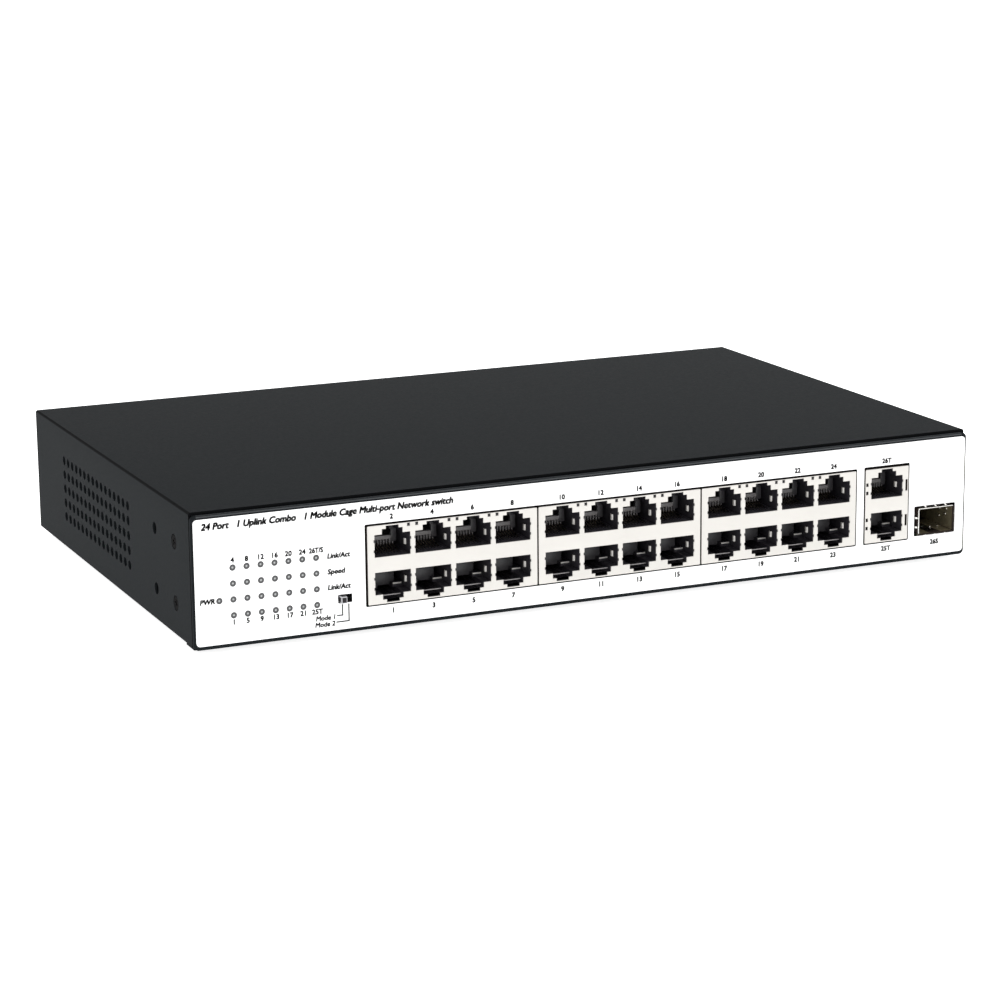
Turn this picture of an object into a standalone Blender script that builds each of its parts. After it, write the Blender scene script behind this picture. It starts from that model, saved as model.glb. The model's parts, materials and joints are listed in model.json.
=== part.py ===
"""Desktop / rack network switch: 24 stacked 8P8C ports, a two-port uplink stack and one SFP cage.

Every size below is in millimetres; MM turns it into Blender's metres when a mesh is made.
+X is the right-hand side seen from the front, +Y runs from the front to the back, +Z is up.
The origin is the centre of the whole object's footprint, on the plane the feet stand on.
"""

import math

import bmesh
import bpy
from mathutils import Matrix, Vector

MM = 0.001

# ---------------------------------------------------------------- driving sizes
WIDTH = 280.0            # over the front panel and the cover's two sides
DEPTH = 178.0            # front label to the cover's rear lip
HEIGHT = 44.0            # underside of the front panel to the top of the cover (one rack unit class)
FOOT_HEIGHT = 2.0        # the front panel's clearance over the table
SHEET = 0.8              # steel sheet of panel, tray and cover
FIT = 0.3                # clearance between parts that lie against each other
SEAT = 0.15              # clearance under a small part that sits on a surface
KNOB_PROUD = 2.0         # slide-switch knob in front of the label
CAGE_PROUD = 1.2         # SFP cage in front of the label
INLET_PROUD = 1.8        # mains inlet flange behind the rear lip

FRONT = -(DEPTH + KNOB_PROUD + INLET_PROUD) / 2 + KNOB_PROUD    # y of the label's face
BACK = FRONT + DEPTH
BOTTOM = FOOT_HEIGHT
TOP = BOTTOM + HEIGHT
SIDE = WIDTH / 2

# front panel: a shallow pan whose side flanges run back inside the cover
LABEL_THICK = 0.25
PANEL_FRONT = FRONT + LABEL_THICK + SEAT
PANEL_INNER = PANEL_FRONT + SHEET
PANEL_TOP = TOP - SHEET - SEAT           # it slips under the cover's top sheet
PANEL_CORNER = 1.7
RIM_REAR = FRONT + 1.6                   # the full-width rim ends here
LABEL_INSET = (0.4, 0.9, 1.0)            # label's distance from the panel's sides, bottom and top
LABEL_CORNER = 1.3
INNER_SIDE = SIDE - SHEET - FIT          # outer x of what runs inside the cover's sides
SIDE_FLANGE_REAR = FRONT + 46.0
TOP_FLANGE_REAR = FRONT + 12.0
BOTTOM_FLANGE_REAR = FRONT + 9.0

# tray: bottom, low side walls and rear panel folded from one sheet
TRAY_BOTTOM = BOTTOM + 1.0               # the front panel's lower flange reaches below it
TRAY_FLOOR = TRAY_BOTTOM + SHEET
TRAY_FRONT = BOTTOM_FLANGE_REAR + FIT
REAR_OUTER = BACK - SHEET - FIT
REAR_INNER = REAR_OUTER - SHEET
REAR_RETURN = REAR_OUTER - 12.0          # the side walls are full height behind this
REAR_FLANGE = 11.0                       # the rear panel's top flange
SIDE_WALL_TOP = BOTTOM + 8.0
POST_RADIUS, POST_PEG_RADIUS = 2.9, 1.3
BOARD_HOLE_RADIUS, TAPPED_HOLE_RADIUS = 1.6, 1.5

# cover
COVER_FRONT = FRONT + 2.2
COVER_LOW = TRAY_BOTTOM
BEND = 0.9                               # outer radius of the cover's and tray's folds
LIP_HEIGHT = 9.0                         # the cover's rear lip

# side ventilation and side screw holes
VENT_COLUMNS, VENT_ROWS, VENT_PITCH = 16, 5, 5.03
VENT_RADIUS = 1.6
VENT_LAST_Y = FRONT + 142.3
VENT_TOP_Z = BOTTOM + 32.3
EAR_HOLE_Y = (FRONT + 17.6, FRONT + 37.6)        # a 20 mm square of holes on each side
EAR_HOLE_Z = (BOTTOM + 31.4, BOTTOM + 11.4)
SCREW_SEAT_RADIUS, EAR_HOLE_RADIUS, SHANK_HOLE_RADIUS = 2.5, 2.0, 1.7
REAR_SCREW_X = 110.0
REAR_SCREW_Z = TOP - 5.2

# stacked jacks
PORT_PITCH = 13.97
PORT_WIDTH, PORT_HEIGHT = 12.26, 7.36
KEY_STEPS = ((7.1, 1.7), (4.4, 1.0))             # width and height of the two latch steps
STACK_MID = BOTTOM + 20.9
ROW_OFFSET = 6.16                                # from the stack's middle to a row's middle
BLOCK_PITCH = 59.55
BLOCK_CENTRES = tuple(-52.4 + BLOCK_PITCH * i for i in range(3))
BLOCK_HALF = 29.5
UPLINK_CENTRE = 108.4
UPLINK_HALF = 8.45
SHIELD_HALF_HEIGHT = 12.9
SHIELD_PROUD = 0.2
SHIELD_SHEET = 0.3
SHIELD_DEPTH = 24.0
HOUSING_INSET = 0.5                              # housing inside the shield's outside
HOUSING_REAR = FRONT + 16.0
CARRIER_REAR = FRONT + 22.6
TONGUE_HALF_WIDTH, TONGUE_THICK = 4.2, 0.35      # a port's eight contacts as one sloping strip
TONGUE_TIP_Y = FRONT + 4.5
TONGUE_RISE = (0.4, 1.7)                         # above the contact wall at the tip and at the root
WINDOW_GAP = 0.35

# SFP cage
CAGE_CENTRE = 127.75
CAGE_MID_Z = BOTTOM + 13.66
CAGE_HALF_WIDTH, CAGE_HALF_HEIGHT = 7.25, 4.8
CAGE_SHEET = 0.4
CAGE_REAR = FRONT + 46.0
CAGE_WINDOW_HALF = (8.15, 5.25)
LATCH_ROOT_Y = FRONT + 15.7
LATCH_TIP_Y = FRONT + 1.8
LATCH_HALF_WIDTH = 2.0
LATCH_EYE = ((-1.3, -6.5), (1.3, -6.5), (0.0, -9.5))     # the hole that a module's pin drops into
CAGE_FLOOR_GAP = (6.4, FRONT + 31.0)             # half width and front of the connector's gap
SFP_CONNECTOR_Y = (FRONT + 33.0, FRONT + 43.0)
SFP_CONNECTOR_HALF, SFP_SLOT_HALF = 5.8, 4.8
SFP_CONNECTOR_RISE = 2.2                         # above the cage's middle
SFP_SLOT_Z = (-1.0, 0.6)                         # about the cage's middle
SFP_SLOT_DEPTH = 6.0

# status lamps and the slide switch
LED_COLUMNS, LED_ROWS = 7, 4
LED_PITCH_X, LED_PITCH_Z = 4.61, 5.12
LED_FIRST_X = -126.82
LED_TOP_Z = BOTTOM + 25.6
LED_HOLE_RADIUS, LED_PEG_RADIUS = 1.15, 0.95
POWER_LED_ROW = 2
LIGHT_PIPE_Y = (FRONT + 2.2, FRONT + 4.4)
LIGHT_PIPE_MARGIN = (2.2, 2.0)                   # past the outermost lamps, sideways and upwards
SWITCH_X = -89.7
SWITCH_Z = BOTTOM + 11.25
SWITCH_SLOT_HALF = (2.4, 1.4)
KNOB_HALF = (1.0, 1.1)
KNOB_TRAVEL = 2.0
SWITCH_BODY_Y = (FRONT + 2.2, FRONT + 7.0)
SWITCH_BODY_HALF, SWITCH_TRACK_HALF = 4.3, 2.5
SWITCH_BODY_RISE = 2.9                           # above the knob's middle
SWITCH_BACK_WALL = 1.2

# boards
BOARD_THICK = 1.6
BOARD_TOP = BOTTOM + 7.5
BOARD_BOTTOM = BOARD_TOP - BOARD_THICK
PART_BASE = BOARD_TOP + FIT                      # underside of what is soldered to a board
MAIN_BOARD_X, MAIN_BOARD_Y = (-134.0, 136.0), (FRONT + 2.0, FRONT + 92.0)
POWER_BOARD_X, POWER_BOARD_Y = (-134.0, -30.0), (FRONT + 98.0, FRONT + 164.0)
MAIN_POSTS = ((-128.0, FRONT + 35), (-128.0, FRONT + 86), (60.0, FRONT + 86), (130.0, FRONT + 86))
POWER_POSTS = ((-129.0, FRONT + 103), (-129.0, FRONT + 159), (-35.0, FRONT + 103), (-35.0, FRONT + 159))

# parts on the main board
CHIP_CENTRE, CHIP_HALF, CHIP_HEIGHT = (0.0, FRONT + 64.0), 14.0, 2.2
SINK_HALF, SINK_HEIGHT, SINK_BASE = 15.0, 12.0, 2.5
FIN_GAPS, FIN_GAP = 7, 2.4
MAGNETICS_HALF, MAGNETICS_Y, MAGNETICS_HEIGHT = 22.0, (FRONT + 28.0, FRONT + 40.0), 6.2
DC_PLUG = (-40.0, FRONT + 83.5)                  # centre of the low-voltage connector
DC_PLUG_HALF, DC_PLUG_WALL, DC_PLUG_HEIGHT, DC_PLUG_FLOOR = (6.0, 3.5), 1.0, 8.0, 2.0

# parts on the power board: (x, y) centres and sizes
TRANSFORMER = (-76.0, FRONT + 120.0)
WINDING_HALF, WINDING_Z = (9.0, 11.0), (1.5, 18.5)
CORE_HALF, CORE_Z = (12.5, 6.0), (3.0, 17.0)
BOBBIN_HALF, BOBBIN_Z = (11.0, 13.0), (0.0, 2.0)
INPUT_CAN = (-107.0, FRONT + 120.0, 8.0, 26.0)   # x, y, radius and height
OUTPUT_CAN = (-45.0, FRONT + 134.0, 5.0, 20.0)
CAN_GROOVE = 0.6
REGULATOR_SINK = (-60.0, FRONT + 146.0)
REGULATOR_HALF, REGULATOR_HEIGHT = (18.0, 1.2), 24.0
SIDE_FINS, SIDE_FIN_PITCH, SIDE_FIN_THICK, SIDE_FIN_REACH = 6, 6.6, 1.2, 7.0
CHOKE = (-122.0, FRONT + 140.0)
CHOKE_RADIUS, CHOKE_EYE, CHOKE_HALF = 7.0, 3.4, 4.0
FUSE = (-128.0, FRONT + 108.0)
FUSE_CAP_RADIUS, FUSE_TUBE_RADIUS, FUSE_CAP, FUSE_LENGTH = 2.6, 2.2, 5.0, 20.0

# mains inlet and earthing screw
INLET_X, INLET_Z = -104.0, BOTTOM + 22.0
INLET_BODY_HALF = (13.5, 9.9)
INLET_FLANGE_HALF = (15.3, 12.0)
INLET_MOUTH_HALF = (12.0, 8.15)
INLET_MOUTH_BEVEL = 4.5
INLET_BODY_REAR = BACK - 17.0
INLET_FLOOR = BACK - 13.2
PIN_HALF = (1.0, 2.0)
PIN_PLACES = {"line": (-7.0, -2.0), "neutral": (7.0, -2.0), "earth": (0.0, 2.0)}
PIN_TIP, PIN_TAB = BACK - 1.5, BACK - 25.0
GROUND_X, GROUND_Z = -70.0, BOTTOM + 14.0
GROUND_HOLE_RADIUS = 2.2
GROUND_SHANK = 7.0
MAINS_WIRE, LOW_WIRE = 2.4, 2.0                  # diameters over the insulation
LOW_WIRE_SPACING = 4.0
FOOT_PLACES = ((-120.0, FRONT + 22), (120.0, FRONT + 22), (-120.0, BACK - 22), (120.0, BACK - 22))


# ---------------------------------------------------------------- materials
MATERIALS = {
    # name: (red, green, blue), metallic, roughness
    "charcoal_paint": ((0.030, 0.034, 0.036), 0.0, 0.55),
    "white_label": ((0.86, 0.86, 0.86), 0.0, 0.45),
    "shield_metal": ((0.80, 0.78, 0.72), 1.0, 0.35),
    "cage_metal": ((0.68, 0.68, 0.64), 1.0, 0.30),
    "black_plastic": ((0.016, 0.016, 0.017), 0.0, 0.45),
    "gold_contact": ((0.83, 0.62, 0.28), 1.0, 0.30),
    "lamp_plastic": ((0.55, 0.57, 0.58), 0.0, 0.25),
    "rubber": ((0.02, 0.02, 0.02), 0.0, 0.85),
    "screw_steel": ((0.55, 0.55, 0.55), 1.0, 0.35),
    "board_green": ((0.02, 0.16, 0.07), 0.0, 0.40),
    "chip_black": ((0.02, 0.02, 0.02), 0.0, 0.50),
    "aluminium": ((0.75, 0.76, 0.77), 1.0, 0.35),
    "ferrite": ((0.06, 0.06, 0.065), 0.0, 0.60),
    "tape_yellow": ((0.72, 0.52, 0.08), 0.0, 0.45),
    "capacitor_sleeve": ((0.03, 0.04, 0.10), 0.0, 0.35),
    "nickel": ((0.72, 0.70, 0.66), 1.0, 0.25),
    "connector_white": ((0.80, 0.79, 0.74), 0.0, 0.50),
    "wire_brown": ((0.16, 0.06, 0.03), 0.0, 0.50),
    "wire_blue": ((0.03, 0.09, 0.35), 0.0, 0.50),
    "wire_green": ((0.10, 0.30, 0.05), 0.0, 0.50),
    "wire_red": ((0.45, 0.02, 0.02), 0.0, 0.50),
    "wire_black": ((0.02, 0.02, 0.02), 0.0, 0.50),
}


def material(name):
    """The named Principled BSDF material, made the first time it is asked for."""
    found = bpy.data.materials.get(name)
    if found:
        return found
    colour, metallic, roughness = MATERIALS[name]
    made = bpy.data.materials.new(name)
    made.use_nodes = True
    shader = made.node_tree.nodes["Principled BSDF"]
    shader.inputs["Base Color"].default_value = (*colour, 1.0)
    shader.inputs["Metallic"].default_value = metallic
    shader.inputs["Roughness"].default_value = roughness
    return made


# ---------------------------------------------------------------- mesh helpers (millimetres in)
def solid(bm, rings):
    """Close a stack of equally long rings of points into one solid with flat end caps."""
    loops = [[bm.verts.new(Vector(point) * MM) for point in ring] for ring in rings]
    faces = [bm.faces.new(loops[0]), bm.faces.new(loops[-1])]
    for lower, upper in zip(loops, loops[1:]):
        for i in range(len(lower)):
            j = (i + 1) % len(lower)
            faces.append(bm.faces.new((lower[i], lower[j], upper[j], upper[i])))
    bmesh.ops.recalc_face_normals(bm, faces=faces)
    return faces


def box(bm, xs, ys, zs, bevel=0.0, keep_sharp=None):
    """A cuboid; with bevel, its edges are rounded except those keep_sharp(edge centre) names."""
    ring = [(xs[0], ys[0]), (xs[1], ys[0]), (xs[1], ys[1]), (xs[0], ys[1])]
    faces = solid(bm, [[(x, y, z) for x, y in ring] for z in zs])
    if not bevel:
        return
    edges = {edge for face in faces for edge in face.edges}
    if keep_sharp:
        edges = {e for e in edges if not keep_sharp((e.verts[0].co + e.verts[1].co) / 2 / MM)}
    bmesh.ops.bevel(
        bm, geom=list(edges), offset=bevel * MM, segments=2, affect="EDGES", profile=0.5,
        offset_type="OFFSET",
    )


def prism(bm, outline, axis, start, end):
    """Extrude a flat outline along axis from start to end.

    The outline's two coordinates are the other two axes in X, Y, Z order.
    """
    place = {
        "x": lambda a, b, t: (t, a, b),
        "y": lambda a, b, t: (a, t, b),
        "z": lambda a, b, t: (a, b, t),
    }[axis]
    solid(bm, [[place(a, b, t) for a, b in outline] for t in (start, end)])


def polygon(sides, radius, centre, turn=0.0):
    """A regular polygon's corners."""
    step = 2 * math.pi / sides
    return [
        (centre[0] + radius * math.cos(turn + step * i), centre[1] + radius * math.sin(turn + step * i))
        for i in range(sides)
    ]


def rectangle(half, centre):
    """A rectangle's corners from its half sizes."""
    (a, b), (u, v) = half, centre
    return [(u - a, v - b), (u + a, v - b), (u + a, v + b), (u - a, v + b)]


def rounded_rectangle(xs, zs, radius, steps=3):
    """A rectangle with quarter-circle corners."""
    corners = ((xs[1], zs[1], 0), (xs[0], zs[1], 1), (xs[0], zs[0], 2), (xs[1], zs[0], 3))
    points = []
    for x, z, quarter in corners:
        u = x - radius if x == xs[1] else x + radius
        v = z - radius if z == zs[1] else z + radius
        for i in range(steps + 1):
            angle = math.pi / 2 * (quarter + i / steps)
            points.append((u + radius * math.cos(angle), v + radius * math.sin(angle)))
    return points


def turned(bm, profile, sides, origin, axis):
    """A round piece: profile is (distance along axis, radius) pairs from one end to the other."""
    turn = Vector((0, 0, 1)).rotation_difference(Vector(axis)).to_matrix()
    rings = []
    for along, radius in profile:
        ring = [turn @ Vector((u, v, along)) + Vector(origin) for u, v in polygon(sides, radius, (0, 0))]
        rings.append(ring)
    solid(bm, rings)


def finish_object(name, bm, colour, smooth=False):
    """Turn a bmesh into a named object with its material."""
    mesh = bpy.data.meshes.new(name)
    bm.to_mesh(mesh)
    bm.free()
    made = bpy.data.objects.new(name, mesh)
    bpy.context.collection.objects.link(made)
    made.data.materials.append(material(colour))
    if smooth:
        mesh.shade_smooth()
        mesh.set_sharp_from_angle(angle=math.radians(35))
    return made


def combine(target, operation, build):
    """Cut away from target, or join to it, the solids that build(bmesh) makes."""
    bm = bmesh.new()
    build(bm)
    count = len(target.modifiers)
    tool = finish_object(f"{target.name}_tool_{count}", bm, "charcoal_paint")
    tool.hide_render = True
    tool.display_type = "WIRE"
    modifier = target.modifiers.new(operation.lower(), "BOOLEAN")
    modifier.operation = operation
    modifier.object = tool


def cut(target, build):
    combine(target, "DIFFERENCE", build)


def join(target, build):
    combine(target, "UNION", build)


def simple(name, colour, build, smooth=False):
    """An object from a function that fills a bmesh."""
    bm = bmesh.new()
    build(bm)
    return finish_object(name, bm, colour, smooth)


# ---------------------------------------------------------------- shared places
def about(centre, half):
    """The range from half below to half above a centre."""
    return centre - half, centre + half


def on_board(low, high):
    """A range of heights over the plane that soldered parts stand on."""
    return PART_BASE + low, PART_BASE + high


def led_places():
    """Centres of the status lamps: a grid, and the power lamp one pitch to its left."""
    places = [
        (LED_FIRST_X + LED_PITCH_X * column, LED_TOP_Z - LED_PITCH_Z * row)
        for row in range(LED_ROWS)
        for column in range(LED_COLUMNS)
    ]
    places.append((LED_FIRST_X - LED_PITCH_X, LED_TOP_Z - LED_PITCH_Z * POWER_LED_ROW))
    return places


def port_outline(x, row, grow=0.0):
    """A port's opening: a rectangle with two latch steps, up in the top row and down in the other.

    row is +1 for the upper row and -1 for the lower one.
    """
    half, side = PORT_HEIGHT / 2 + grow, PORT_WIDTH / 2 + grow
    right = [(side, -half), (side, half)]
    level = half
    for width, height in KEY_STEPS:
        right.append((width / 2 + grow, level))
        level += height
        right.append((width / 2 + grow, level))
    outline = right + [(-u, v) for u, v in reversed(right)]
    middle = STACK_MID + row * ROW_OFFSET
    return [(x + u, middle + row * v) for u, v in outline]


def port_places(centre, columns):
    """The x of each column of ports in a block."""
    return [centre + PORT_PITCH * (i - (columns - 1) / 2) for i in range(columns)]


def block_window(first, last, half):
    """The front window around one or more neighbouring jack blocks, as x and z ranges."""
    xs = (first - half - WINDOW_GAP, last + half + WINDOW_GAP)
    reach = SHIELD_HALF_HEIGHT + WINDOW_GAP
    return xs, (STACK_MID - reach, STACK_MID + reach)


JACK_WINDOW = block_window(BLOCK_CENTRES[0], BLOCK_CENTRES[-1], BLOCK_HALF)
UPLINK_WINDOW = block_window(UPLINK_CENTRE, UPLINK_CENTRE, UPLINK_HALF)
CAGE_WINDOW = (
    (CAGE_CENTRE - CAGE_WINDOW_HALF[0], CAGE_CENTRE + CAGE_WINDOW_HALF[0]),
    (CAGE_MID_Z - CAGE_WINDOW_HALF[1], CAGE_MID_Z + CAGE_WINDOW_HALF[1]),
)


def front_openings(bm, ys):
    """Cutters for everything that looks out through the front panel."""
    for xs, zs in (JACK_WINDOW, UPLINK_WINDOW, CAGE_WINDOW):
        box(bm, xs, ys, zs)
    for place in led_places():
        prism(bm, polygon(6, LED_HOLE_RADIUS, place), "y", *ys)
    prism(bm, rectangle(SWITCH_SLOT_HALF, (SWITCH_X, SWITCH_Z)), "y", *ys)


# ---------------------------------------------------------------- enclosure
def make_front_panel():
    """A shallow pan: full-size face and rim, then top, side and bottom flanges that run back."""
    panel = simple("front_panel", "charcoal_paint", lambda bm: prism(
        bm, rounded_rectangle((-SIDE, SIDE), (BOTTOM, PANEL_TOP), PANEL_CORNER),
        "y", PANEL_FRONT, RIM_REAR))
    flange_low = TRAY_FLOOR + FIT
    join(panel, lambda bm: box(
        bm, (-INNER_SIDE, INNER_SIDE), (PANEL_FRONT + 0.5, SIDE_FLANGE_REAR),
        (BOTTOM, PANEL_TOP)))
    inner = INNER_SIDE - SHEET
    cut(panel, lambda bm: box(
        bm, (-inner, inner), (PANEL_INNER, SIDE_FLANGE_REAR + 3), (BOTTOM + SHEET, PANEL_TOP - SHEET)))
    cut(panel, lambda bm: box(
        bm, (-inner, inner), (TOP_FLANGE_REAR, SIDE_FLANGE_REAR + 6), (PANEL_TOP - 3, PANEL_TOP + 3)))
    cut(panel, lambda bm: box(
        bm, (-SIDE, SIDE), (BOTTOM_FLANGE_REAR, SIDE_FLANGE_REAR + 9), (BOTTOM - 3, flange_low)))

    def openings(bm):
        front_openings(bm, (FRONT - 3, PANEL_INNER + 3))
        for y in EAR_HOLE_Y:
            for z in EAR_HOLE_Z:
                for x in (-SIDE, SIDE):
                    prism(bm, polygon(8, SHANK_HOLE_RADIUS, (y, z)), "x", x - 5, x + 5)

    cut(panel, openings)


def make_tray():
    """Bottom, low side walls and rear panel: one folded sheet with its board posts."""
    tray = simple("base_chassis", "charcoal_paint", lambda bm: box(
        bm, (-INNER_SIDE, INNER_SIDE), (TRAY_FRONT, REAR_OUTER), (TRAY_BOTTOM, PANEL_TOP)))
    inner = INNER_SIDE - SHEET
    cut(tray, lambda bm: box(
        bm, (-inner, inner), (TRAY_FRONT - 3, REAR_INNER), (TRAY_FLOOR, PANEL_TOP - SHEET)))
    cut(tray, lambda bm: box(
        bm, (-inner, inner), (TRAY_FRONT - 6, REAR_OUTER - REAR_FLANGE), (PANEL_TOP - 3, PANEL_TOP + 3)))
    cut(tray, lambda bm: box(
        bm, (-SIDE, SIDE), (SIDE_FLANGE_REAR, REAR_RETURN), (SIDE_WALL_TOP, PANEL_TOP + 6)))
    cut(tray, lambda bm: box(
        bm, (-SIDE, SIDE), (TRAY_FRONT - 9, SIDE_FLANGE_REAR + FIT), (TRAY_FLOOR, PANEL_TOP + 9)))

    def posts(bm):
        for x, y in MAIN_POSTS + POWER_POSTS:
            prism(bm, polygon(8, POST_RADIUS, (x, y)), "z", TRAY_FLOOR - SHEET / 2, BOARD_BOTTOM - SEAT)

    def pegs(bm):
        for x, y in POWER_POSTS:
            prism(bm, polygon(6, POST_PEG_RADIUS, (x, y)), "z", BOARD_BOTTOM - 2, BOARD_TOP + 0.8)

    def openings(bm):
        rear = (REAR_INNER - 3, REAR_OUTER + 3)
        for x in (-REAR_SCREW_X, REAR_SCREW_X):
            prism(bm, polygon(8, SHANK_HOLE_RADIUS, (x, REAR_SCREW_Z)), "y", *rear)
        prism(bm, polygon(8, GROUND_HOLE_RADIUS, (GROUND_X, GROUND_Z)), "y", *rear)
        half = tuple(value + 0.2 for value in INLET_BODY_HALF)
        prism(bm, rectangle(half, (INLET_X, INLET_Z)), "y", *rear)
        for x, y in MAIN_POSTS:
            hole = polygon(8, TAPPED_HOLE_RADIUS, (x, y))
            prism(bm, hole, "z", BOARD_BOTTOM - 3.8, BOARD_BOTTOM + 1)

    join(tray, posts)
    join(tray, pegs)
    cut(tray, openings)


def make_cover():
    """Top, two perforated sides and a rear lip, folded from one sheet."""

    def is_open_edge(middle):
        return middle.y < COVER_FRONT + 0.01 or middle.z < COVER_LOW + 0.01 or (
            abs(middle.y - BACK) < 0.01 and middle.z < TOP - 1)

    cover = simple("top_cover", "charcoal_paint", lambda bm: box(
        bm, (-SIDE, SIDE), (COVER_FRONT, BACK), (COVER_LOW, TOP), BEND, is_open_edge))
    inner = SIDE - SHEET
    cut(cover, lambda bm: box(
        bm, (-inner, inner), (COVER_FRONT - 5, BACK - SHEET), (COVER_LOW - 5, TOP - SHEET)))
    cut(cover, lambda bm: box(
        bm, (-inner, inner), (BACK - SHEET - 3, BACK + 3), (COVER_LOW - 6, TOP - LIP_HEIGHT)))

    def holes(bm):
        through = (-SIDE - 5, SIDE + 5)
        for column in range(VENT_COLUMNS):
            for row in range(VENT_ROWS):
                centre = (VENT_LAST_Y - VENT_PITCH * column, VENT_TOP_Z - VENT_PITCH * row)
                prism(bm, polygon(6, VENT_RADIUS, centre), "x", *through)
        for y, radius in zip(EAR_HOLE_Y, (SCREW_SEAT_RADIUS, EAR_HOLE_RADIUS)):
            for z in EAR_HOLE_Z:
                prism(bm, polygon(10, radius, (y, z)), "x", *through)
        for x in (-REAR_SCREW_X, REAR_SCREW_X):
            prism(bm, polygon(8, SHANK_HOLE_RADIUS, (x, REAR_SCREW_Z)), "y", BACK - 6, BACK + 3)

    cut(cover, holes)


def make_label():
    """The printed overlay on the front panel."""
    at_side, at_bottom, at_top = LABEL_INSET
    label = simple("front_label", "white_label", lambda bm: prism(
        bm, rounded_rectangle(
            (-SIDE + at_side, SIDE - at_side), (BOTTOM + at_bottom, PANEL_TOP - at_top), LABEL_CORNER),
        "y", FRONT, FRONT + LABEL_THICK))
    cut(label, lambda bm: front_openings(bm, (FRONT - 3, FRONT + 3)))


def make_feet():
    for number, (x, y) in enumerate(FOOT_PLACES, 1):
        profile = ((0.0, 5.6), (1.2, 6.0), (TRAY_BOTTOM - SEAT, 6.0))
        simple(f"rubber_foot_{number}", "rubber",
               lambda bm, at=(x, y, 0.0): turned(bm, profile, 16, at, (0, 0, 1)), smooth=True)


def make_screws():
    """Countersunk screws in the sides, pan-head screws elsewhere."""
    countersunk = ((0.05, 2.3), (0.3, 2.3), (1.2, 1.4), (4.0, 1.4), (4.4, 1.0))
    pan = ((-1.5, 1.9), (-1.0, 2.7), (-SEAT, 2.8), (-SEAT / 2, 1.35), (5.5, 1.35), (6.0, 0.9))
    board = ((-1.5, 1.6), (-1.0, 2.3), (-SEAT, 2.4), (-SEAT / 2, 1.2), (4.6, 1.2), (5.0, 0.8))

    def screw(name, profile, origin, axis):
        simple(name, "screw_steel", lambda bm: turned(bm, profile, 10, origin, axis), smooth=True)

    for side, sign in (("left", -1), ("right", 1)):
        for level, z in zip(("upper", "lower"), EAR_HOLE_Z):
            screw(f"cover_screw_{side}_{level}", countersunk, (sign * SIDE, EAR_HOLE_Y[0], z), (-sign, 0, 0))
        screw(f"cover_screw_rear_{side}", pan, (sign * REAR_SCREW_X, BACK, REAR_SCREW_Z), (0, -1, 0))
    ground = ((-2.0, 2.4), (-1.4, 3.4), (-SEAT, 3.6), (-SEAT / 2, 1.9), (GROUND_SHANK - 0.6, 1.9),
              (GROUND_SHANK, 1.4))
    screw("ground_screw", ground, (GROUND_X, REAR_OUTER, GROUND_Z), (0, -1, 0))
    for number, (x, y) in enumerate(MAIN_POSTS, 1):
        screw(f"board_screw_{number}", board, (x, y, BOARD_TOP), (0, 0, -1))


# ---------------------------------------------------------------- jacks
def make_jack_block(prefix, suffix, centre, columns, half):
    """One stacked jack: folded shield, moulded housing and the contact carrier behind it."""
    zs = (STACK_MID - SHIELD_HALF_HEIGHT, STACK_MID + SHIELD_HALF_HEIGHT)
    xs = (centre - half, centre + half)
    face = FRONT - SHIELD_PROUD
    shield = simple(f"{prefix}_shield{suffix}", "shield_metal", lambda bm: box(
        bm, xs, (face, FRONT + SHIELD_DEPTH), zs))
    cut(shield, lambda bm: box(
        bm, (xs[0] + SHIELD_SHEET, xs[1] - SHIELD_SHEET),
        (face + SHIELD_SHEET, FRONT + SHIELD_DEPTH - SHIELD_SHEET), (zs[0] - 3, zs[1] - SHIELD_SHEET)))

    def mouths(bm, ys, grow):
        for x in port_places(centre, columns):
            for row in (1, -1):
                prism(bm, port_outline(x, row, grow), "y", *ys)

    cut(shield, lambda bm: mouths(bm, (face - 3, face + 3), 0.0))

    inner_xs = (xs[0] + HOUSING_INSET, xs[1] - HOUSING_INSET)
    inner_zs = (zs[0] + SEAT, zs[1] - HOUSING_INSET)
    housing = simple(f"{prefix}_housing{suffix}", "black_plastic", lambda bm: box(
        bm, inner_xs, (face + SHIELD_SHEET + SEAT, HOUSING_REAR), inner_zs))
    cut(housing, lambda bm: mouths(bm, (FRONT - 3, HOUSING_REAR + 3), -0.1))

    carrier = simple(f"{prefix}_contacts{suffix}", "gold_contact", lambda bm: box(
        bm, inner_xs, (HOUSING_REAR + FIT, CARRIER_REAR), inner_zs))

    def tongues(bm):
        root = HOUSING_REAR + FIT + 1.0
        at_tip, at_root = TONGUE_RISE
        for x in port_places(centre, columns):
            for row in (1, -1):
                wall = STACK_MID + row * (ROW_OFFSET - PORT_HEIGHT / 2)
                profile = [
                    (root, wall + row * at_root), (TONGUE_TIP_Y, wall + row * at_tip),
                    (TONGUE_TIP_Y, wall + row * (at_tip + TONGUE_THICK)),
                    (root, wall + row * (at_root + TONGUE_THICK)),
                ]
                prism(bm, profile, "x", x - TONGUE_HALF_WIDTH, x + TONGUE_HALF_WIDTH)

    join(carrier, tongues)


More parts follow.
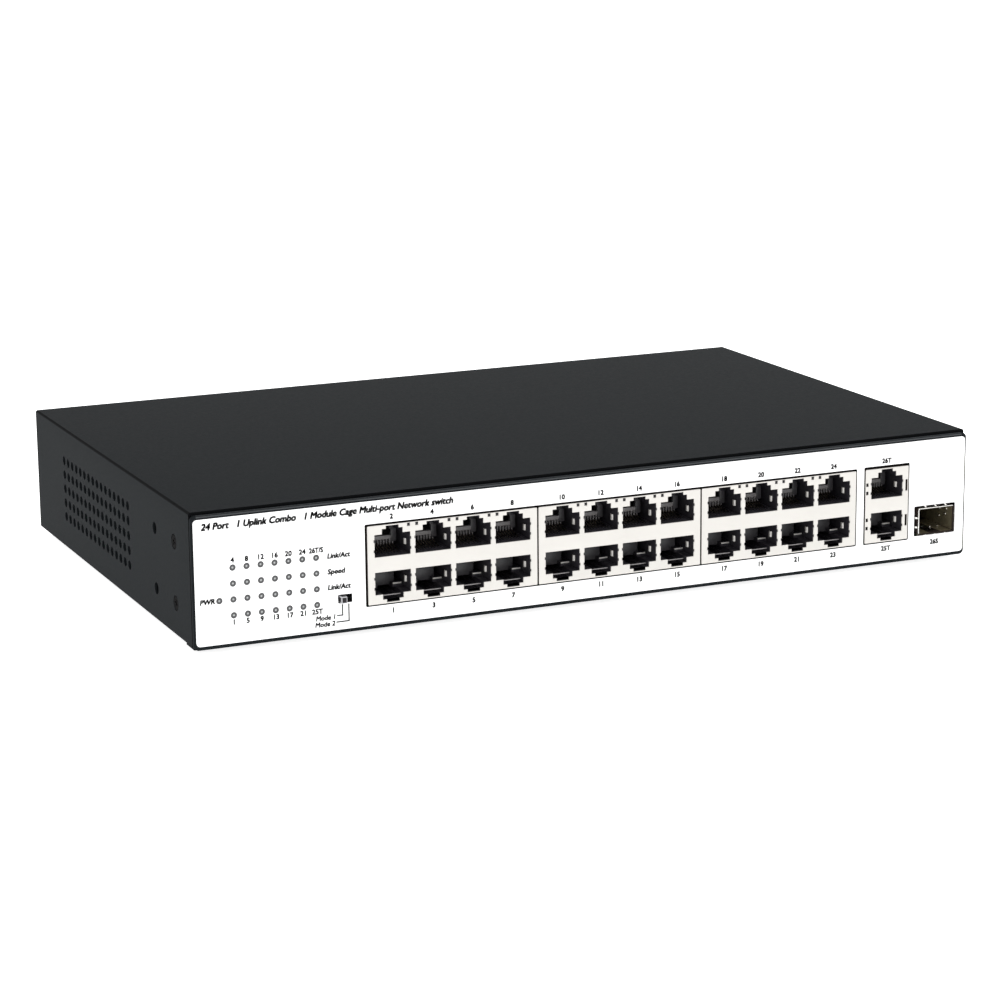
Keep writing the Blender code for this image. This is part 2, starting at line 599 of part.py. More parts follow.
def make_cage():
    """SFP cage, its host connector and the spring leaf that holds a module."""
    xs = (CAGE_CENTRE - CAGE_HALF_WIDTH, CAGE_CENTRE + CAGE_HALF_WIDTH)
    zs = (CAGE_MID_Z - CAGE_HALF_HEIGHT, CAGE_MID_Z + CAGE_HALF_HEIGHT)
    mouth = FRONT - CAGE_PROUD
    cage = simple("sfp_cage", "cage_metal", lambda bm: box(bm, xs, (mouth, CAGE_REAR), zs))
    cut(cage, lambda bm: box(
        bm, (xs[0] + CAGE_SHEET, xs[1] - CAGE_SHEET), (mouth - 3, CAGE_REAR - CAGE_SHEET),
        (zs[0] + CAGE_SHEET, zs[1] - CAGE_SHEET)))

    def floor_openings(bm):
        slot = LATCH_HALF_WIDTH + FIT
        floor = (zs[0] - 2, zs[0] + 2)
        box(bm, (CAGE_CENTRE - slot, CAGE_CENTRE + slot), (LATCH_TIP_Y - FIT, LATCH_ROOT_Y + FIT), floor)
        half, start = CAGE_FLOOR_GAP
        box(bm, (CAGE_CENTRE - half, CAGE_CENTRE + half), (start, CAGE_REAR - 1), floor)

    cut(cage, floor_openings)

    latch = simple("sfp_latch_spring", "cage_metal", lambda bm: box(
        bm, (-LATCH_HALF_WIDTH, LATCH_HALF_WIDTH), (LATCH_TIP_Y - LATCH_ROOT_Y, 0.0),
        (-CAGE_SHEET / 2, CAGE_SHEET / 2)))
    cut(latch, lambda bm: prism(bm, LATCH_EYE, "z", -2, 2))
    place = Matrix.Translation(Vector((CAGE_CENTRE, LATCH_ROOT_Y, zs[0] + CAGE_SHEET / 2)) * MM)
    latch.matrix_world = place
    latch.modifiers[0].object.matrix_world = place

    connector = simple("sfp_connector", "black_plastic", lambda bm: box(
        bm, (CAGE_CENTRE - SFP_CONNECTOR_HALF, CAGE_CENTRE + SFP_CONNECTOR_HALF), SFP_CONNECTOR_Y,
        (PART_BASE, CAGE_MID_Z + SFP_CONNECTOR_RISE)))
    front = SFP_CONNECTOR_Y[0]
    cut(connector, lambda bm: box(
        bm, (CAGE_CENTRE - SFP_SLOT_HALF, CAGE_CENTRE + SFP_SLOT_HALF), (front - 3, front + SFP_SLOT_DEPTH),
        tuple(CAGE_MID_Z + level for level in SFP_SLOT_Z)))


# ---------------------------------------------------------------- lamps and slide switch
def make_lamps():
    """One clear moulding whose pegs fill the lamp holes."""
    aside, above = LIGHT_PIPE_MARGIN
    left = LED_FIRST_X - LED_PITCH_X - aside
    right = LED_FIRST_X + LED_PITCH_X * (LED_COLUMNS - 1) + aside
    pipe = simple("led_light_pipe", "lamp_plastic", lambda bm: box(
        bm, (left, right), LIGHT_PIPE_Y, (PART_BASE, LED_TOP_Z + above)))

    def pegs(bm):
        for place in led_places():
            prism(bm, polygon(6, LED_PEG_RADIUS, place), "y", FRONT + 0.1, LIGHT_PIPE_Y[0] + 0.8)

    join(pipe, pegs)


def make_slide_switch():
    """A two-position slide switch; the knob's origin is on its line of travel."""
    front, rear = SWITCH_BODY_Y
    body = simple("slide_switch_body", "black_plastic", lambda bm: box(
        bm, about(SWITCH_X, SWITCH_BODY_HALF), SWITCH_BODY_Y,
        (PART_BASE, SWITCH_Z + SWITCH_BODY_RISE)))
    track_half = KNOB_HALF[1] + 0.2
    cut(body, lambda bm: box(
        bm, about(SWITCH_X, SWITCH_TRACK_HALF), (front - 3, rear - SWITCH_BACK_WALL),
        about(SWITCH_Z, track_half)))
    knob_root = rear - SWITCH_BACK_WALL - FIT - FRONT
    knob = simple("slide_switch_knob", "black_plastic", lambda bm: box(
        bm, (-KNOB_HALF[0], KNOB_HALF[0]), (-KNOB_PROUD, knob_root), (-KNOB_HALF[1], KNOB_HALF[1]),
        0.2, lambda middle: middle.y > 0))
    knob.location = Vector((SWITCH_X - KNOB_TRAVEL / 2, FRONT, SWITCH_Z)) * MM


# ---------------------------------------------------------------- boards and what they carry
def make_board(name, xs, ys, posts):
    """A circuit board with a hole over each of its posts."""
    board = simple(name, "board_green", lambda bm: box(bm, xs, ys, (BOARD_BOTTOM, BOARD_TOP)))

    def holes(bm):
        for place in posts:
            prism(bm, polygon(8, BOARD_HOLE_RADIUS, place), "z", BOARD_BOTTOM - 2, BOARD_TOP + 2)

    cut(board, holes)


def make_main_board():
    make_board("main_board", MAIN_BOARD_X, MAIN_BOARD_Y, MAIN_POSTS)
    x, y = CHIP_CENTRE
    simple("switch_chip", "chip_black", lambda bm: box(
        bm, about(x, CHIP_HALF), about(y, CHIP_HALF), on_board(0.0, CHIP_HEIGHT), 0.3))
    base = CHIP_HEIGHT + FIT
    sink = simple("chip_heat_sink", "aluminium", lambda bm: box(
        bm, about(x, SINK_HALF), about(y, SINK_HALF), on_board(base, base + SINK_HEIGHT)))

    def fin_gaps(bm):
        pitch = (2 * SINK_HALF - FIN_GAP) / FIN_GAPS
        for i in range(FIN_GAPS):
            middle = x - SINK_HALF + pitch * (i + 1)
            box(bm, about(middle, FIN_GAP / 2), about(y, SINK_HALF + 3),
                on_board(base + SINK_BASE, base + SINK_HEIGHT + 3))

    cut(sink, fin_gaps)
    for number, centre in enumerate(BLOCK_CENTRES, 1):
        simple(f"magnetics_{number}", "chip_black", lambda bm, centre=centre: box(
            bm, about(centre, MAGNETICS_HALF), MAGNETICS_Y, on_board(0.0, MAGNETICS_HEIGHT), 0.4))

    plug_x, plug_y = DC_PLUG
    half_x, half_y = DC_PLUG_HALF
    socket = simple("dc_connector", "connector_white", lambda bm: box(
        bm, about(plug_x, half_x), about(plug_y, half_y), on_board(0.0, DC_PLUG_HEIGHT)))
    cut(socket, lambda bm: box(
        bm, about(plug_x, half_x - DC_PLUG_WALL), about(plug_y, half_y - DC_PLUG_WALL),
        on_board(DC_PLUG_FLOOR, DC_PLUG_HEIGHT + 4)))


def make_power_supply():
    make_board("power_board", POWER_BOARD_X, POWER_BOARD_Y, POWER_POSTS)
    x, y = TRANSFORMER
    core = simple("transformer", "tape_yellow", lambda bm: box(
        bm, about(x, WINDING_HALF[0]), about(y, WINDING_HALF[1]), on_board(*WINDING_Z), 0.8))
    join(core, lambda bm: box(bm, about(x, CORE_HALF[0]), about(y, CORE_HALF[1]), on_board(*CORE_Z)))
    join(core, lambda bm: box(bm, about(x, BOBBIN_HALF[0]), about(y, BOBBIN_HALF[1]), on_board(*BOBBIN_Z)))
    make_can("input_capacitor", *INPUT_CAN)
    make_can("output_capacitor", *OUTPUT_CAN)

    sink_x, sink_y = REGULATOR_SINK
    half_x, half_y = REGULATOR_HALF
    sink = simple("regulator_heat_sink", "aluminium", lambda bm: box(
        bm, about(sink_x, half_x), about(sink_y, half_y), on_board(0.0, REGULATOR_HEIGHT)))

    def side_fins(bm):
        for i in range(SIDE_FINS):
            start = sink_x - half_x + 1.0 + SIDE_FIN_PITCH * i
            box(bm, (start, start + SIDE_FIN_THICK), (sink_y + half_y / 2, sink_y + SIDE_FIN_REACH),
                on_board(2.0, REGULATOR_HEIGHT - 1.0))

    join(sink, side_fins)

    choke_x, choke_y = CHOKE
    ring = (choke_y, PART_BASE + CHOKE_RADIUS)
    choke = simple("line_filter_choke", "ferrite", lambda bm: prism(
        bm, polygon(14, CHOKE_RADIUS, ring), "x", *about(choke_x, CHOKE_HALF)))
    cut(choke, lambda bm: prism(bm, polygon(10, CHOKE_EYE, ring), "x", *about(choke_x, CHOKE_HALF + 5)))

    taper = 0.2
    profile = (
        (0.0, FUSE_CAP_RADIUS), (FUSE_CAP - taper, FUSE_CAP_RADIUS), (FUSE_CAP, FUSE_TUBE_RADIUS),
        (FUSE_LENGTH - FUSE_CAP, FUSE_TUBE_RADIUS), (FUSE_LENGTH - FUSE_CAP + taper, FUSE_CAP_RADIUS),
        (FUSE_LENGTH, FUSE_CAP_RADIUS),
    )
    simple("fuse", "nickel", lambda bm: turned(
        bm, profile, 10, (*FUSE, PART_BASE + FUSE_CAP_RADIUS), (0, 1, 0)), smooth=True)


def make_can(name, x, y, radius, height):
    """An electrolytic capacitor with the groove near its foot."""
    neck = radius - CAN_GROOVE
    profile = ((0.0, radius), (1.5, radius), (2.2, neck), (2.9, radius), (height - CAN_GROOVE, radius),
               (height, neck))
    simple(name, "capacitor_sleeve",
           lambda bm: turned(bm, profile, 16, (x, y, PART_BASE), (0, 0, 1)), smooth=True)


# ---------------------------------------------------------------- mains inlet
def inlet_mouth():
    """The inlet's opening: a rectangle with the two corners on the earth side cut off."""
    a, b, c = *INLET_MOUTH_HALF, INLET_MOUTH_BEVEL
    points = [(-a, -b), (a, -b), (a, b - c), (a - c, b), (c - a, b), (-a, b - c)]
    return [(INLET_X + u, INLET_Z + v) for u, v in points]


def make_inlet():
    inlet = simple("iec_inlet", "black_plastic", lambda bm: prism(
        bm, rectangle(INLET_BODY_HALF, (INLET_X, INLET_Z)), "y", INLET_BODY_REAR, BACK + 1))
    join(inlet, lambda bm: box(
        bm, (INLET_X - INLET_FLANGE_HALF[0], INLET_X + INLET_FLANGE_HALF[0]),
        (REAR_OUTER + SEAT, BACK + INLET_PROUD),
        (INLET_Z - INLET_FLANGE_HALF[1], INLET_Z + INLET_FLANGE_HALF[1]), 0.5))
    cut(inlet, lambda bm: prism(bm, inlet_mouth(), "y", INLET_FLOOR, BACK + 6))

    def pin_holes(bm):
        half = tuple(value + 0.15 for value in PIN_HALF)
        for u, v in PIN_PLACES.values():
            prism(bm, rectangle(half, (INLET_X + u, INLET_Z + v)), "y", INLET_BODY_REAR - 3, INLET_FLOOR + 3)

    cut(inlet, pin_holes)
    for name, (u, v) in PIN_PLACES.items():
        x, z = INLET_X + u, INLET_Z + v
        simple(f"inlet_pin_{name}", "nickel", lambda bm, x=x, z=z: box(
            bm, (x - PIN_HALF[0], x + PIN_HALF[0]), (PIN_TAB, PIN_TIP), (z - PIN_HALF[1], z + PIN_HALF[1])))


# ---------------------------------------------------------------- wires
def smooth_route(points, spacing):
    """Points about spacing apart along a Catmull-Rom curve through the route's own points."""
    ends = [points[0] * 2 - points[1]] + points + [points[-1] * 2 - points[-2]]
    route = [points[0]]
    for before, start, end, after in zip(ends, ends[1:], ends[2:], ends[3:]):
        count = max(1, round((end - start).length / spacing))
        for i in range(1, count + 1):
            t = i / count
            route.append(0.5 * (
                2 * start + (end - before) * t
                + (2 * before - 5 * start + 4 * end - after) * t ** 2
                + (3 * start - before - 3 * end + after) * t ** 3))
    return route


def wire(name, colour, diameter, points):
    """An insulated wire: a tube along a smooth route."""
    route = smooth_route([Vector(point) * MM for point in points], 2.5 * diameter * MM)
    curve = bpy.data.curves.new(name, "CURVE")
    curve.dimensions = "3D"
    curve.bevel_depth = diameter / 2 * MM
    curve.bevel_resolution = 2
    curve.use_fill_caps = True
    spline = curve.splines.new("POLY")
    spline.points.add(len(route) - 1)
    for point, place in zip(spline.points, route):
        point.co = (*place, 1.0)
    curve.materials.append(material(colour))
    bpy.context.collection.objects.link(bpy.data.objects.new(name, curve))


def make_wires():
    """Mains wires from the inlet's tabs, the earth wire and the low-voltage pair."""
    tab = PIN_TAB - FIT
    solder = PART_BASE + 0.2
    for name, colour in (("line", "wire_brown"), ("neutral", "wire_blue")):
        u, v = PIN_PLACES[name]
        x, z = INLET_X + u, INLET_Z + v
        spread = x + math.copysign(1.0, u)
        wire(f"ac_{name}_wire", colour, MAINS_WIRE, (
            (x, tab, z), (x, tab - 5, z), (spread, tab - 11, z - 6), (spread, tab - 12, z - 11),
            (spread, tab - 12, solder)))
    high = INLET_Z + PIN_PLACES["earth"][1]
    shank_end = REAR_OUTER - GROUND_SHANK
    wire("earth_wire", "wire_green", MAINS_WIRE, (
        (INLET_X, tab, high), (INLET_X, tab - 6, high + 1), (INLET_X + 10, tab - 9, high + 6),
        (INLET_X + 22, tab - 2, high + 5), (GROUND_X - 4, shank_end - 12, GROUND_Z + 6),
        (GROUND_X, shank_end - 6, GROUND_Z), (GROUND_X, shank_end - 0.4, GROUND_Z)))
    plug_x, plug_y = DC_PLUG
    for name, colour, side in (("dc_plus_wire", "wire_red", -0.5), ("dc_minus_wire", "wire_black", 0.5)):
        x = plug_x + side * LOW_WIRE_SPACING
        wire(name, colour, LOW_WIRE, (
            (x, plug_y + 22.5, solder), (x, plug_y + 22.5, PART_BASE + 8),
            (x, plug_y + 16.5, PART_BASE + 15), (x, plug_y + 6.5, PART_BASE + 18),
            (x, plug_y + 0.5, PART_BASE + 13),
            (x, plug_y, PART_BASE + DC_PLUG_FLOOR + 0.6)))


# ---------------------------------------------------------------- assembly
def main():
    for old in list(bpy.data.objects):
        bpy.data.objects.remove(old, do_unlink=True)
    make_front_panel()
    make_tray()
    make_cover()
    make_label()
    make_feet()
    make_screws()
    for number, centre in enumerate(BLOCK_CENTRES, 1):
        make_jack_block("rj45", f"_{number}", centre, 4, BLOCK_HALF)
    make_jack_block("uplink", "", UPLINK_CENTRE, 1, UPLINK_HALF)
    make_cage()
    make_lamps()
    make_slide_switch()
    make_main_board()
    make_power_supply()
    make_inlet()
    make_wires()


main()
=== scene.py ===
"""Looks of the rackmount network switch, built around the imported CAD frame.

Sizes are in millimetres and MM turns them into metres. +X is right seen from the front, +Y runs
from the front to the back and +Z is up; the feet stand on z = 0.
"""

import json
import math

import bmesh
import bpy
from mathutils import Matrix, Vector, geometry


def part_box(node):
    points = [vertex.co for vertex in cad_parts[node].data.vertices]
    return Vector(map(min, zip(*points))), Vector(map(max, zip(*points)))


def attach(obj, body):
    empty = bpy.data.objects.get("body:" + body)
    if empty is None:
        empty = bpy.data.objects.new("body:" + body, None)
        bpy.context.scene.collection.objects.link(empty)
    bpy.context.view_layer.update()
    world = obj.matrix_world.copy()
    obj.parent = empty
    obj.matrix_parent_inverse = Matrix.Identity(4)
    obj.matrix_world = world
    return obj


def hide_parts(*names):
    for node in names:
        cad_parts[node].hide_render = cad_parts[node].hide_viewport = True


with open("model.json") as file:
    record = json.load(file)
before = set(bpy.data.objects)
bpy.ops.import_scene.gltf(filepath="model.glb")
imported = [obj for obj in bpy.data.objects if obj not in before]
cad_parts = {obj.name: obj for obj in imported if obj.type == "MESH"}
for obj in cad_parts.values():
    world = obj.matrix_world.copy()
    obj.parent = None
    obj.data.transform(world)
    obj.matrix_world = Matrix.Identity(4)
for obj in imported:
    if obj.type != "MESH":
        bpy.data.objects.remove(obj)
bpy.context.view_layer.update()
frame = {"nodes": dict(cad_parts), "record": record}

MM = 0.001
CASE = "case"                  # the body that everything fixed rides on


def box_mm(node):
    """A CAD node's lowest and highest corners in millimetres."""
    low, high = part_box(node)
    return low / MM, high / MM


def add_object(name, data):
    """A new object in the scene."""
    made = bpy.data.objects.new(name, data)
    bpy.context.scene.collection.objects.link(made)
    return made


def front_of(low, high):
    """A box seen from the front: its half sizes and its centre, both as (x, z)."""
    half = ((high.x - low.x) / 2, (high.z - low.z) / 2)
    return half, ((low.x + high.x) / 2, (low.z + high.z) / 2)


# ------------------------------------------------ places taken from the frame
PANEL_LOW, PANEL_HIGH = box_mm("front_panel")
COVER_LOW, COVER_HIGH = box_mm("top_cover")
LABEL_LOW, LABEL_HIGH = box_mm("front_label")
TRAY_LOW, TRAY_HIGH = box_mm("base_chassis")
PIPE_LOW, PIPE_HIGH = box_mm("led_light_pipe")
FRONT = LABEL_LOW.y
SIDE = COVER_HIGH.x
BACK = COVER_HIGH.y
TOP = COVER_HIGH.z
BOTTOM = PANEL_LOW.z

# sheet metal
SHEET = 0.8
FOLD_RADIUS = 0.9
FOLD_STEPS = 6
LIP_HEIGHT = 9.0
HOLE_SIDES = 28
PANEL_CORNER, LABEL_CORNER = 1.7, 1.3
LABEL_TRIM = {"side": 0.33, "bottom": 0.40, "top": 0.15}     # the film inside its CAD outline
PANEL_RIM_REAR = FRONT + 1.6
PANEL_REACH = {"side": FRONT + 46.0, "top": FRONT + 12.0, "bottom": FRONT + 9.0}    # its flanges

# side holes
VENT_COLUMNS, VENT_ROWS, VENT_PITCH, VENT_RADIUS, VENT_SIDES = 16, 5, 5.03, 1.6, 20
VENT_LAST_Y = FRONT + 142.3
VENT_TOP_Z = BOTTOM + 32.3
EAR_HOLE_Y = (FRONT + 17.6, FRONT + 37.6)
EAR_HOLE_Z = (BOTTOM + 31.4, BOTTOM + 11.4)
SCREW_SEAT_RADIUS, EAR_HOLE_RADIUS, SHANK_HOLE_RADIUS = 2.5, 2.0, 1.7
REAR_SCREW_X, REAR_SCREW_Z = 110.0, TOP - 5.2

# print on the label
INK_LIFT = 0.03
CAPITAL_SHARE = 0.66           # a capital's height as a share of the font's size
SMALL_PRINT = 1.5
PORT_BOLD, LAMP_BOLD, ROW_BOLD, MODE_BOLD, TITLE_BOLD = 0.115, 0.10, 0.11, 0.09, 0.15
WORD_SLANT, TITLE_SLANT = 0.15, 0.22
LEADER_HALF = 0.23

# jacks
PORT_PITCH = 13.97
PORT_WIDTH, PORT_HEIGHT = 12.26, 7.36
KEY_STEPS = ((7.1, 1.7), (4.4, 1.0))
ROW_OFFSET = 6.16
NOTCH_LEVELS, NOTCH_DEPTH, NOTCH_HEIGHT = (-2.1, 1.2), 0.3, 0.9
SHIELD_SHEET = 0.3
WINDOW_GAP = 0.5
JACKS_GAPS, UPLINK_GAPS = (0.8, 0.68), (0.5, 0.9)      # at the left and the top of each window
HOUSING_REAR = FRONT + 16.0
CONTACTS, CONTACT_PITCH = 8, 1.016
INSERT_Y, INSERT_DEPTH = FRONT + 9.8, 1.4              # comb bars and blocks behind the openings
POST_X = (3.4, 5.3)                                    # a post's sides, from its port's middle
BLOCK_HALF = 4.2
LEDGE_Y, LEDGE_RISE = FRONT + 6.8, 1.5                 # beside a lower port's latch
LEDGE_X = 2.6
BLOCKS = (
    # name suffix, family, columns, first port number
    ("_1", "rj45", 4, 1),
    ("_2", "rj45", 4, 9),
    ("_3", "rj45", 4, 17),
    ("", "uplink", 1, 25),
)
STACK_MID = sum(box_mm("rj45_shield_1")[i].z for i in (0, 1)) / 2

# lamps
LED_COLUMNS, LED_ROWS = 7, 4
LED_PITCH_X, LED_PITCH_Z = 4.61, 5.12
LED_FIRST_X = PIPE_LOW.x + 2.2 + LED_PITCH_X
LED_TOP_Z = PIPE_HIGH.z - 2.0
LED_HOLE_RADIUS, LED_PANEL_RADIUS = 1.05, 1.15        # in the label and the panel behind it
LED_RING_RADII = (1.02, 0.34)
LED_LENS_Y = FRONT + 1.2
POWER_LED_ROW = 2

# slide switch and SFP cage
SWITCH_LOW, SWITCH_HIGH = box_mm("slide_switch_body")
SWITCH_X = (SWITCH_LOW.x + SWITCH_HIGH.x) / 2
SWITCH_Z = SWITCH_HIGH.z - 2.9
SWITCH_SLOT_HALF = (2.4, 1.4)

CAGE_LOW, CAGE_HIGH = box_mm("sfp_cage")
CAGE_HALF, (CAGE_X, CAGE_Z) = front_of(CAGE_LOW, CAGE_HIGH)
CAGE_WINDOW_HALF = (8.15, 5.25)
CAGE_WALL = 0.4

# screw heads as (distance along the axis, radius), from the face that they sit on
COUNTERSUNK_HEAD = [(0.05, 2.15), (0.12, 2.25), (0.3, 2.25), (1.2, 1.4), (4.4, 1.4)]
PAN_HEAD = [(-1.5, 0.9), (-1.45, 1.5), (-1.25, 2.1), (-0.9, 2.55), (-0.5, 2.75), (-0.15, 2.8),
            (-0.1, 1.35), (6.0, 1.35)]
HEX_HEAD = [(-2.0, 2.2), (-1.9, 2.7), (-1.5, 3.1), (-0.9, 3.4), (-0.15, 3.4), (-0.1, 1.8), (6.8, 1.8)]
RECESS_HALF, RECESS_TURN = 0.22, 20

# camera, fitted to the photograph's ports and case corners
CAMERA_LENS = 107.1
CAMERA_AZIMUTH, CAMERA_ELEVATION, CAMERA_ROLL = -23.797, 13.366, -0.547
CAMERA_DISTANCE = 956.07
CAMERA_TARGET = (-35.893, FRONT, BOTTOM + 37.633)

# studio
WHITE = (1.0, 1.0, 1.0, 1.0)
LIGHT_TARGET = (0, 0, 0.02)                            # metres
FLOOR_REACH, FLOOR_LEVEL = 6.0, -0.05 * MM             # metres; just under the feet


# ------------------------------------------------ materials
def set_inputs(node, values):
    """Set a shader node's sockets by their names."""
    for name, value in values.items():
        node.inputs[name].default_value = value


def noise_texture(tree, place, scale, detail):
    """The strength of a noise read at the points that come from place."""
    noise = tree.nodes.new("ShaderNodeTexNoise")
    set_inputs(noise, {"Scale": scale, "Detail": detail})
    tree.links.new(place, noise.inputs["Vector"])
    return noise.outputs["Fac"]


def finish(name, dark, light, roughness, metallic=0.0, mottle=400.0, grain=None, streak=None,
           specular=0.5, coat=0.0):
    """A Principled material with procedural colour and roughness variation.

    dark and light are the two tints that a noise mixes, mottle is that noise's scale per metre.
    roughness is a (low, high) pair. grain is (scale per metre, depth in mm) of a bump.
    streak stretches the mottling along one axis, as on brushed or drawn metal.
    """
    made = bpy.data.materials.new(name)
    made.use_nodes = True
    tree = made.node_tree
    shader = tree.nodes["Principled BSDF"]
    place = tree.nodes.new("ShaderNodeTexCoord").outputs["Object"]
    if streak:
        stretch = tree.nodes.new("ShaderNodeMapping")
        set_inputs(stretch, {"Scale": streak})
        tree.links.new(place, stretch.inputs["Vector"])
        place = stretch.outputs["Vector"]
    noise = noise_texture(tree, place, mottle, 4.0)
    blend = tree.nodes.new("ShaderNodeMix")
    blend.data_type = "RGBA"
    set_inputs(blend, {"A": (*dark, 1.0), "B": (*light, 1.0)})
    tree.links.new(noise, blend.inputs["Factor"])
    tree.links.new(blend.outputs["Result"], shader.inputs["Base Color"])
    spread = tree.nodes.new("ShaderNodeMapRange")
    set_inputs(spread, {"To Min": roughness[0], "To Max": roughness[1]})
    tree.links.new(noise, spread.inputs["Value"])
    tree.links.new(spread.outputs["Result"], shader.inputs["Roughness"])
    set_inputs(shader, {"Metallic": metallic, "Specular IOR Level": specular, "Coat Weight": coat})
    if grain:
        bump = tree.nodes.new("ShaderNodeBump")
        set_inputs(bump, {"Strength": 1.0, "Distance": grain[1] * MM})
        tree.links.new(noise_texture(tree, place, grain[0], 2.0), bump.inputs["Height"])
        tree.links.new(bump.outputs["Normal"], shader.inputs["Normal"])
    return made


LOOKS = {name: finish(name, *tints, **detail) for name, *tints, detail in (
    # name, dark tint, light tint, roughness range, and the rest of finish's arguments
    ("powder_coat", (0.0078, 0.0094, 0.0106), (0.0120, 0.0142, 0.0158), (0.52, 0.66),
     dict(mottle=900.0, grain=(2600.0, 0.03), specular=0.02)),
    # painted shade: near black, for the cover's side folds and front cut edge
    ("painted_edge_shade", (0.0030, 0.0032, 0.0036), (0.0045, 0.0050, 0.0056), (0.6, 0.7),
     dict(mottle=900.0, specular=0.02)),
    ("label_film", (0.90, 0.90, 0.90), (0.94, 0.94, 0.94), (0.42, 0.52),
     dict(mottle=60.0, grain=(5000.0, 0.002))),
    ("ink", (0.012, 0.012, 0.013), (0.020, 0.020, 0.021), (0.5, 0.6), dict(mottle=3000.0)),
    ("tin_plate", (0.520, 0.505, 0.476), (0.585, 0.570, 0.542), (0.40, 0.52),
     dict(metallic=0.35, mottle=120.0, grain=(4000.0, 0.003))),
    # painted shade: a dark copy of the tin, for the shield walls, the cage sleeve and rim sides, and the
    # switch frame
    ("shaded_tin", (0.020, 0.014, 0.013), (0.050, 0.038, 0.034), (0.5, 0.65),
     dict(metallic=0.3, mottle=300.0, specular=0.1)),
    ("bright_nickel", (0.78, 0.77, 0.73), (0.90, 0.89, 0.86), (0.18, 0.30),
     dict(metallic=1.0, mottle=300.0, streak=(1.0, 0.15, 1.0))),
    # painted shade: a dark olive copy of the cage metal, for the inside of the SFP cage
    ("shaded_cage_metal", (0.14, 0.12, 0.075), (0.32, 0.28, 0.18), (0.25, 0.45),
     dict(metallic=0.6, mottle=700.0)),
    ("black_nylon", (0.012, 0.011, 0.012), (0.022, 0.020, 0.021), (0.38, 0.55),
     dict(mottle=1500.0, grain=(6000.0, 0.006), specular=0.3)),
    ("jack_nylon", (0.012, 0.011, 0.014), (0.028, 0.026, 0.031), (0.25, 0.42),
     dict(mottle=1500.0, grain=(6000.0, 0.006), specular=0.3)),
    ("block_nylon", (0.028, 0.027, 0.030), (0.058, 0.056, 0.060), (0.30, 0.45), dict(mottle=1500.0)),
    ("insert_nylon", (0.17, 0.16, 0.16), (0.30, 0.29, 0.29), (0.30, 0.45), dict(mottle=1200.0)),
    ("gold_flash", (0.13, 0.11, 0.08), (0.26, 0.21, 0.14), (0.22, 0.34),
     dict(metallic=1.0, mottle=900.0)),
    ("lamp_lens", (0.26, 0.27, 0.27), (0.40, 0.41, 0.41), (0.15, 0.30), dict(mottle=900.0, coat=0.2)),
    ("lamp_ring", (0.035, 0.035, 0.037), (0.060, 0.060, 0.063), (0.4, 0.55), dict(mottle=2000.0)),
    ("rubber", (0.012, 0.012, 0.012), (0.022, 0.022, 0.022), (0.8, 0.95),
     dict(mottle=700.0, grain=(3000.0, 0.02))),
    ("zinc", (0.42, 0.42, 0.41), (0.62, 0.62, 0.60), (0.28, 0.42), dict(metallic=1.0, mottle=1200.0)),
    ("black_zinc", (0.0003, 0.0003, 0.0004), (0.0030, 0.0032, 0.0035), (0.35, 0.50),
     dict(mottle=1200.0, specular=0.005)),
    # painted highlight: a light grey copy of the black nylon, for the switch knob's rounded edges
    ("nylon_edge_highlight", (0.30, 0.30, 0.32), (0.46, 0.46, 0.48), (0.25, 0.40), dict(mottle=1500.0)),
    # painted highlight: a lighter copy of the powder coat, for the front pan's top bend
    ("painted_rim_highlight", (0.026, 0.029, 0.032), (0.046, 0.049, 0.052), (0.42, 0.58),
     dict(mottle=900.0, grain=(2600.0, 0.03), specular=0.15)),
    ("solder_mask", (0.008, 0.075, 0.030), (0.018, 0.15, 0.065), (0.25, 0.4),
     dict(mottle=260.0, grain=(900.0, 0.02))),
    ("epoxy", (0.012, 0.012, 0.013), (0.022, 0.022, 0.023), (0.5, 0.65),
     dict(mottle=1800.0, grain=(5000.0, 0.01))),
    ("aluminium", (0.60, 0.61, 0.62), (0.76, 0.77, 0.78), (0.28, 0.42),
     dict(metallic=1.0, mottle=500.0, streak=(6.0, 0.3, 1.0))),
    ("ferrite", (0.030, 0.030, 0.033), (0.060, 0.060, 0.064), (0.55, 0.7),
     dict(mottle=800.0, grain=(2500.0, 0.03))),
    ("winding_tape", (0.60, 0.40, 0.05), (0.78, 0.56, 0.10), (0.3, 0.45), dict(mottle=150.0)),
    ("sleeve", (0.015, 0.020, 0.060), (0.03, 0.04, 0.10), (0.25, 0.4), dict(mottle=400.0)),
    ("nickel", (0.62, 0.60, 0.56), (0.78, 0.76, 0.72), (0.2, 0.35), dict(metallic=1.0, mottle=900.0)),
    ("natural_nylon", (0.66, 0.65, 0.60), (0.80, 0.79, 0.74), (0.4, 0.55), dict(mottle=500.0)),
)}
WIRE_TINTS = {
    "brown": ((0.12, 0.045, 0.02), (0.18, 0.07, 0.035)), "blue": ((0.02, 0.07, 0.28), (0.03, 0.10, 0.38)),
    "green": ((0.08, 0.24, 0.04), (0.13, 0.34, 0.06)), "red": ((0.36, 0.015, 0.015), (0.5, 0.03, 0.03)),
    "black": ((0.015, 0.015, 0.015), (0.03, 0.03, 0.03)),
}
for tint, tints in WIRE_TINTS.items():
    LOOKS[f"{tint}_wire"] = finish(f"{tint}_wire", *tints, (0.4, 0.5), mottle=600.0)
# the look of each of the record's material slots, for CAD nodes that show as they are
SLOT_LOOKS = {
    "painted_steel": "powder_coat", "label": "label_film", "shield_metal": "tin_plate",
    "cage_metal": "bright_nickel", "black_plastic": "black_nylon", "gold_contact": "gold_flash",
    "lamp_plastic": "lamp_lens", "rubber": "rubber", "screw_steel": "zinc", "board_green": "solder_mask",
    "chip_black": "epoxy", "aluminium": "aluminium", "ferrite": "ferrite",
    "transformer_tape": "winding_tape", "capacitor_sleeve": "sleeve", "nickel": "nickel",
    "connector_white": "natural_nylon",
    **{f"wire_{tint}": f"{tint}_wire" for tint in WIRE_TINTS},
}


